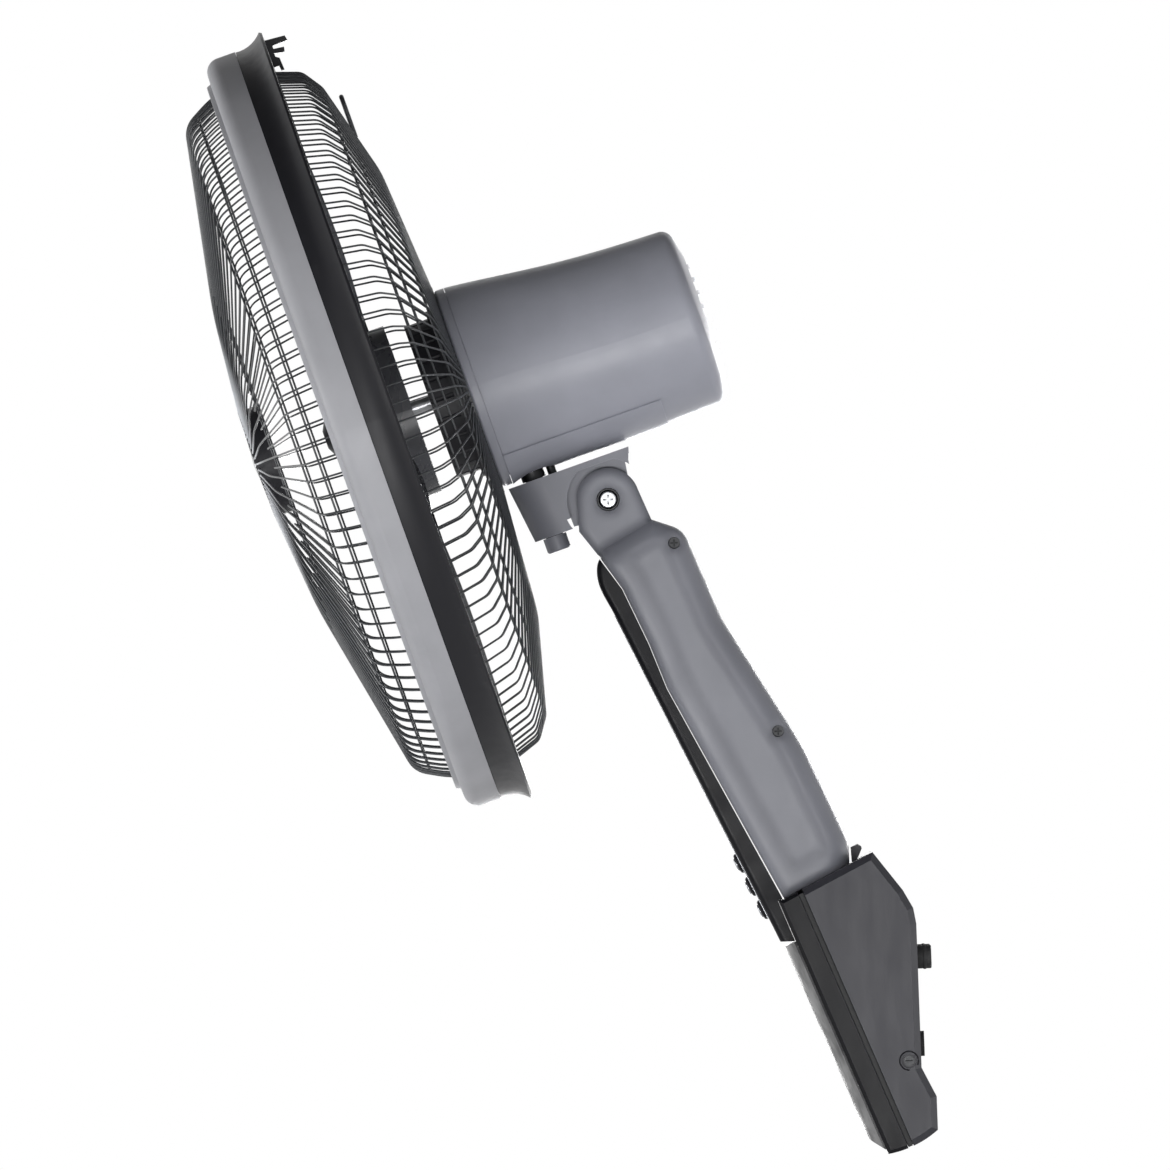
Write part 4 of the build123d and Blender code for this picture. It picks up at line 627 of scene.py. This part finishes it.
def seen_directly(tree):
    """1 for rays from the camera, off glossy surfaces and through glass."""
    path = tree.nodes.new("ShaderNodeLightPath")
    reach = path.outputs["Is Camera Ray"]
    for ray in ("Is Glossy Ray", "Is Transmission Ray"):
        both = tree.nodes.new("ShaderNodeMath")
        both.operation = "MAXIMUM"
        tree.links.new(reach, both.inputs[0])
        tree.links.new(path.outputs[ray], both.inputs[1])
        reach = both.outputs[0]
    return reach


def pale_floor():
    """Matt white paper that keeps the fan's shadow and fades into the white background."""
    paper = Shader("floor")
    fibre, dark, light = 0.004, (0.80, 0.80, 0.80), (0.83, 0.83, 0.83)
    paper.set(Base_Color=paper.tint(paper.noise(fibre, 4.0), dark, light), Roughness=0.95)
    away = paper.node("ShaderNodeVectorMath")
    away.operation = "LENGTH"
    paper.feed(away.inputs[0], paper.coord)
    share = paper.span(away.outputs["Value"], 0.62, 1.0, FADE_START, FADE_END)
    seen = paper.node("ShaderNodeMath")
    seen.operation = "MULTIPLY"
    paper.feed(seen.inputs[0], share)
    paper.feed(seen.inputs[1], seen_directly(paper.tree))
    glow = paper.node("ShaderNodeEmission", Color=(1, 1, 1, 1), Strength=1.0)
    mixed = paper.node("ShaderNodeMixShader", Fac=seen.outputs[0])
    paper.feed(mixed.inputs[1], paper.bsdf.outputs[0])
    paper.feed(mixed.inputs[2], glow.outputs[0])
    paper.feed(paper.tree.nodes["Material Output"].inputs["Surface"], mixed.outputs[0])
    return paper.material


def area_lamp(name, place, size, power):
    """A soft lamp that looks at the fan and isn't seen by the camera."""
    data = bpy.data.lights.new(name, "AREA")
    data.shape = "RECTANGLE"
    data.size, data.size_y = size
    data.energy = power
    lamp = bpy.data.objects.new(name, data)
    lamp.visible_camera = False
    lamp.location = place
    lamp.rotation_euler = (Vector(LAMP_TARGET) - Vector(place)).to_track_quat("-Z", "Y").to_euler()
    bpy.context.scene.collection.objects.link(lamp)


class FAN_OT_stage(bpy.types.Operator):
    """Floor, light and the camera at the photograph's angle"""

    bl_idname = "fan.stage"
    bl_label = "Stage"

    def execute(self, context):
        look = context.scene.fan_stage
        self.floor(look)
        self.world(context)
        for name, (place, size, power) in LAMPS.items():
            area_lamp(name, place, size, power)
        self.ceiling()
        self.camera(context, look)
        context.scene.view_settings.view_transform = "Standard"
        return {"FINISHED"}

    def floor(self, look):
        """The paper under and round the fan."""
        bpy.ops.object.select_all(action="DESELECT")
        bpy.ops.mesh.primitive_circle_add(
            vertices=96, radius=FLOOR_RADIUS, fill_type="NGON", location=(0, 0, look.floor_drop)
        )
        floor = bpy.context.object
        floor.name = "floor"
        floor.data.materials.append(pale_floor())

    def world(self, context):
        """White where it is seen, a weak soft light elsewhere."""
        world = bpy.data.worlds.new("studio")
        context.scene.world = world
        world.use_nodes = True
        tree = world.node_tree
        back = tree.nodes["Background"]
        level = tree.nodes.new("ShaderNodeMapRange")
        level.inputs["To Min"].default_value = AMBIENT
        level.inputs["To Max"].default_value = 1.0
        tree.links.new(seen_directly(tree), level.inputs["Value"])
        tree.links.new(level.outputs["Result"], back.inputs["Strength"])
        back.inputs["Color"].default_value = (1, 1, 1, 1)

    def camera(self, context, look):
        """A long lens that looks straight across the fan from its right side."""
        data = bpy.data.cameras.new("camera")
        data.sensor_width = SENSOR_WIDTH
        data.lens = SENSOR_WIDTH * look.camera_distance / look.frame_width
        data.clip_end = 100
        camera = bpy.data.objects.new("camera", data)
        context.scene.collection.objects.link(camera)
        right = Vector((0, cos(look.roll), -sin(look.roll)))
        up = Vector((0, sin(look.roll), cos(look.roll)))
        turn = Matrix((right, up, ACROSS)).transposed().to_4x4()
        camera.matrix_world = Matrix.Translation((look.camera_distance, *PICTURE_CENTRE)) @ turn
        context.scene.camera = camera

    def ceiling(self):
        """A dark card over the fan, as a studio's unlit ceiling."""
        bpy.ops.mesh.primitive_plane_add(
            size=3.6, location=(0, -0.1, 1.5), rotation=(radians(180), 0, 0)
        )
        card = bpy.context.object
        card.name = "ceiling"
        card.visible_camera = False
        felt = Shader("ceiling card")
        felt.set(Base_Color=(0.10, 0.10, 0.10, 1), Roughness=1.0, Specular_IOR_Level=0.0)
        card.data.materials.append(felt.material)


# ---------------------------------------------------------------- panel and registration
OPERATORS = (
    FAN_OT_finish_solids, FAN_OT_tilt_recess_shade, FAN_OT_buttons, FAN_OT_groove_liner_shade, FAN_OT_screw_rims,
    FAN_OT_bush_bands, FAN_OT_stage,
)


class FAN_PT_panel(bpy.types.Panel):
    """The steps of the fan, in their order"""

    bl_label = "Wall fan"
    bl_idname = "FAN_PT_panel"
    bl_space_type = "VIEW_3D"
    bl_region_type = "UI"
    bl_category = "Wall fan"

    def draw(self, context):
        for operator in OPERATORS:
            self.layout.operator(operator.bl_idname)


CLASSES = (FanFinishes, FanStage, *OPERATORS, FAN_PT_panel)


def register():
    """Make the properties, operators and panel known."""
    for cls in CLASSES:
        bpy.utils.register_class(cls)
    bpy.types.Scene.fan_finishes = PointerProperty(type=FanFinishes)
    bpy.types.Scene.fan_stage = PointerProperty(type=FanStage)


def unregister():
    """Take back what register made known."""
    del bpy.types.Scene.fan_stage
    del bpy.types.Scene.fan_finishes
    for cls in reversed(CLASSES):
        bpy.utils.unregister_class(cls)


def main():
    """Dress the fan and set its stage."""
    register()
    bpy.ops.fan.finish_solids()
    bpy.ops.fan.tilt_ring()
    bpy.ops.fan.buttons()
    bpy.ops.fan.base_gasket()
    bpy.ops.fan.screw_rims()
    bpy.ops.fan.bush_bands()
    bpy.ops.fan.stage()


if __name__ == "__main__":
    main()
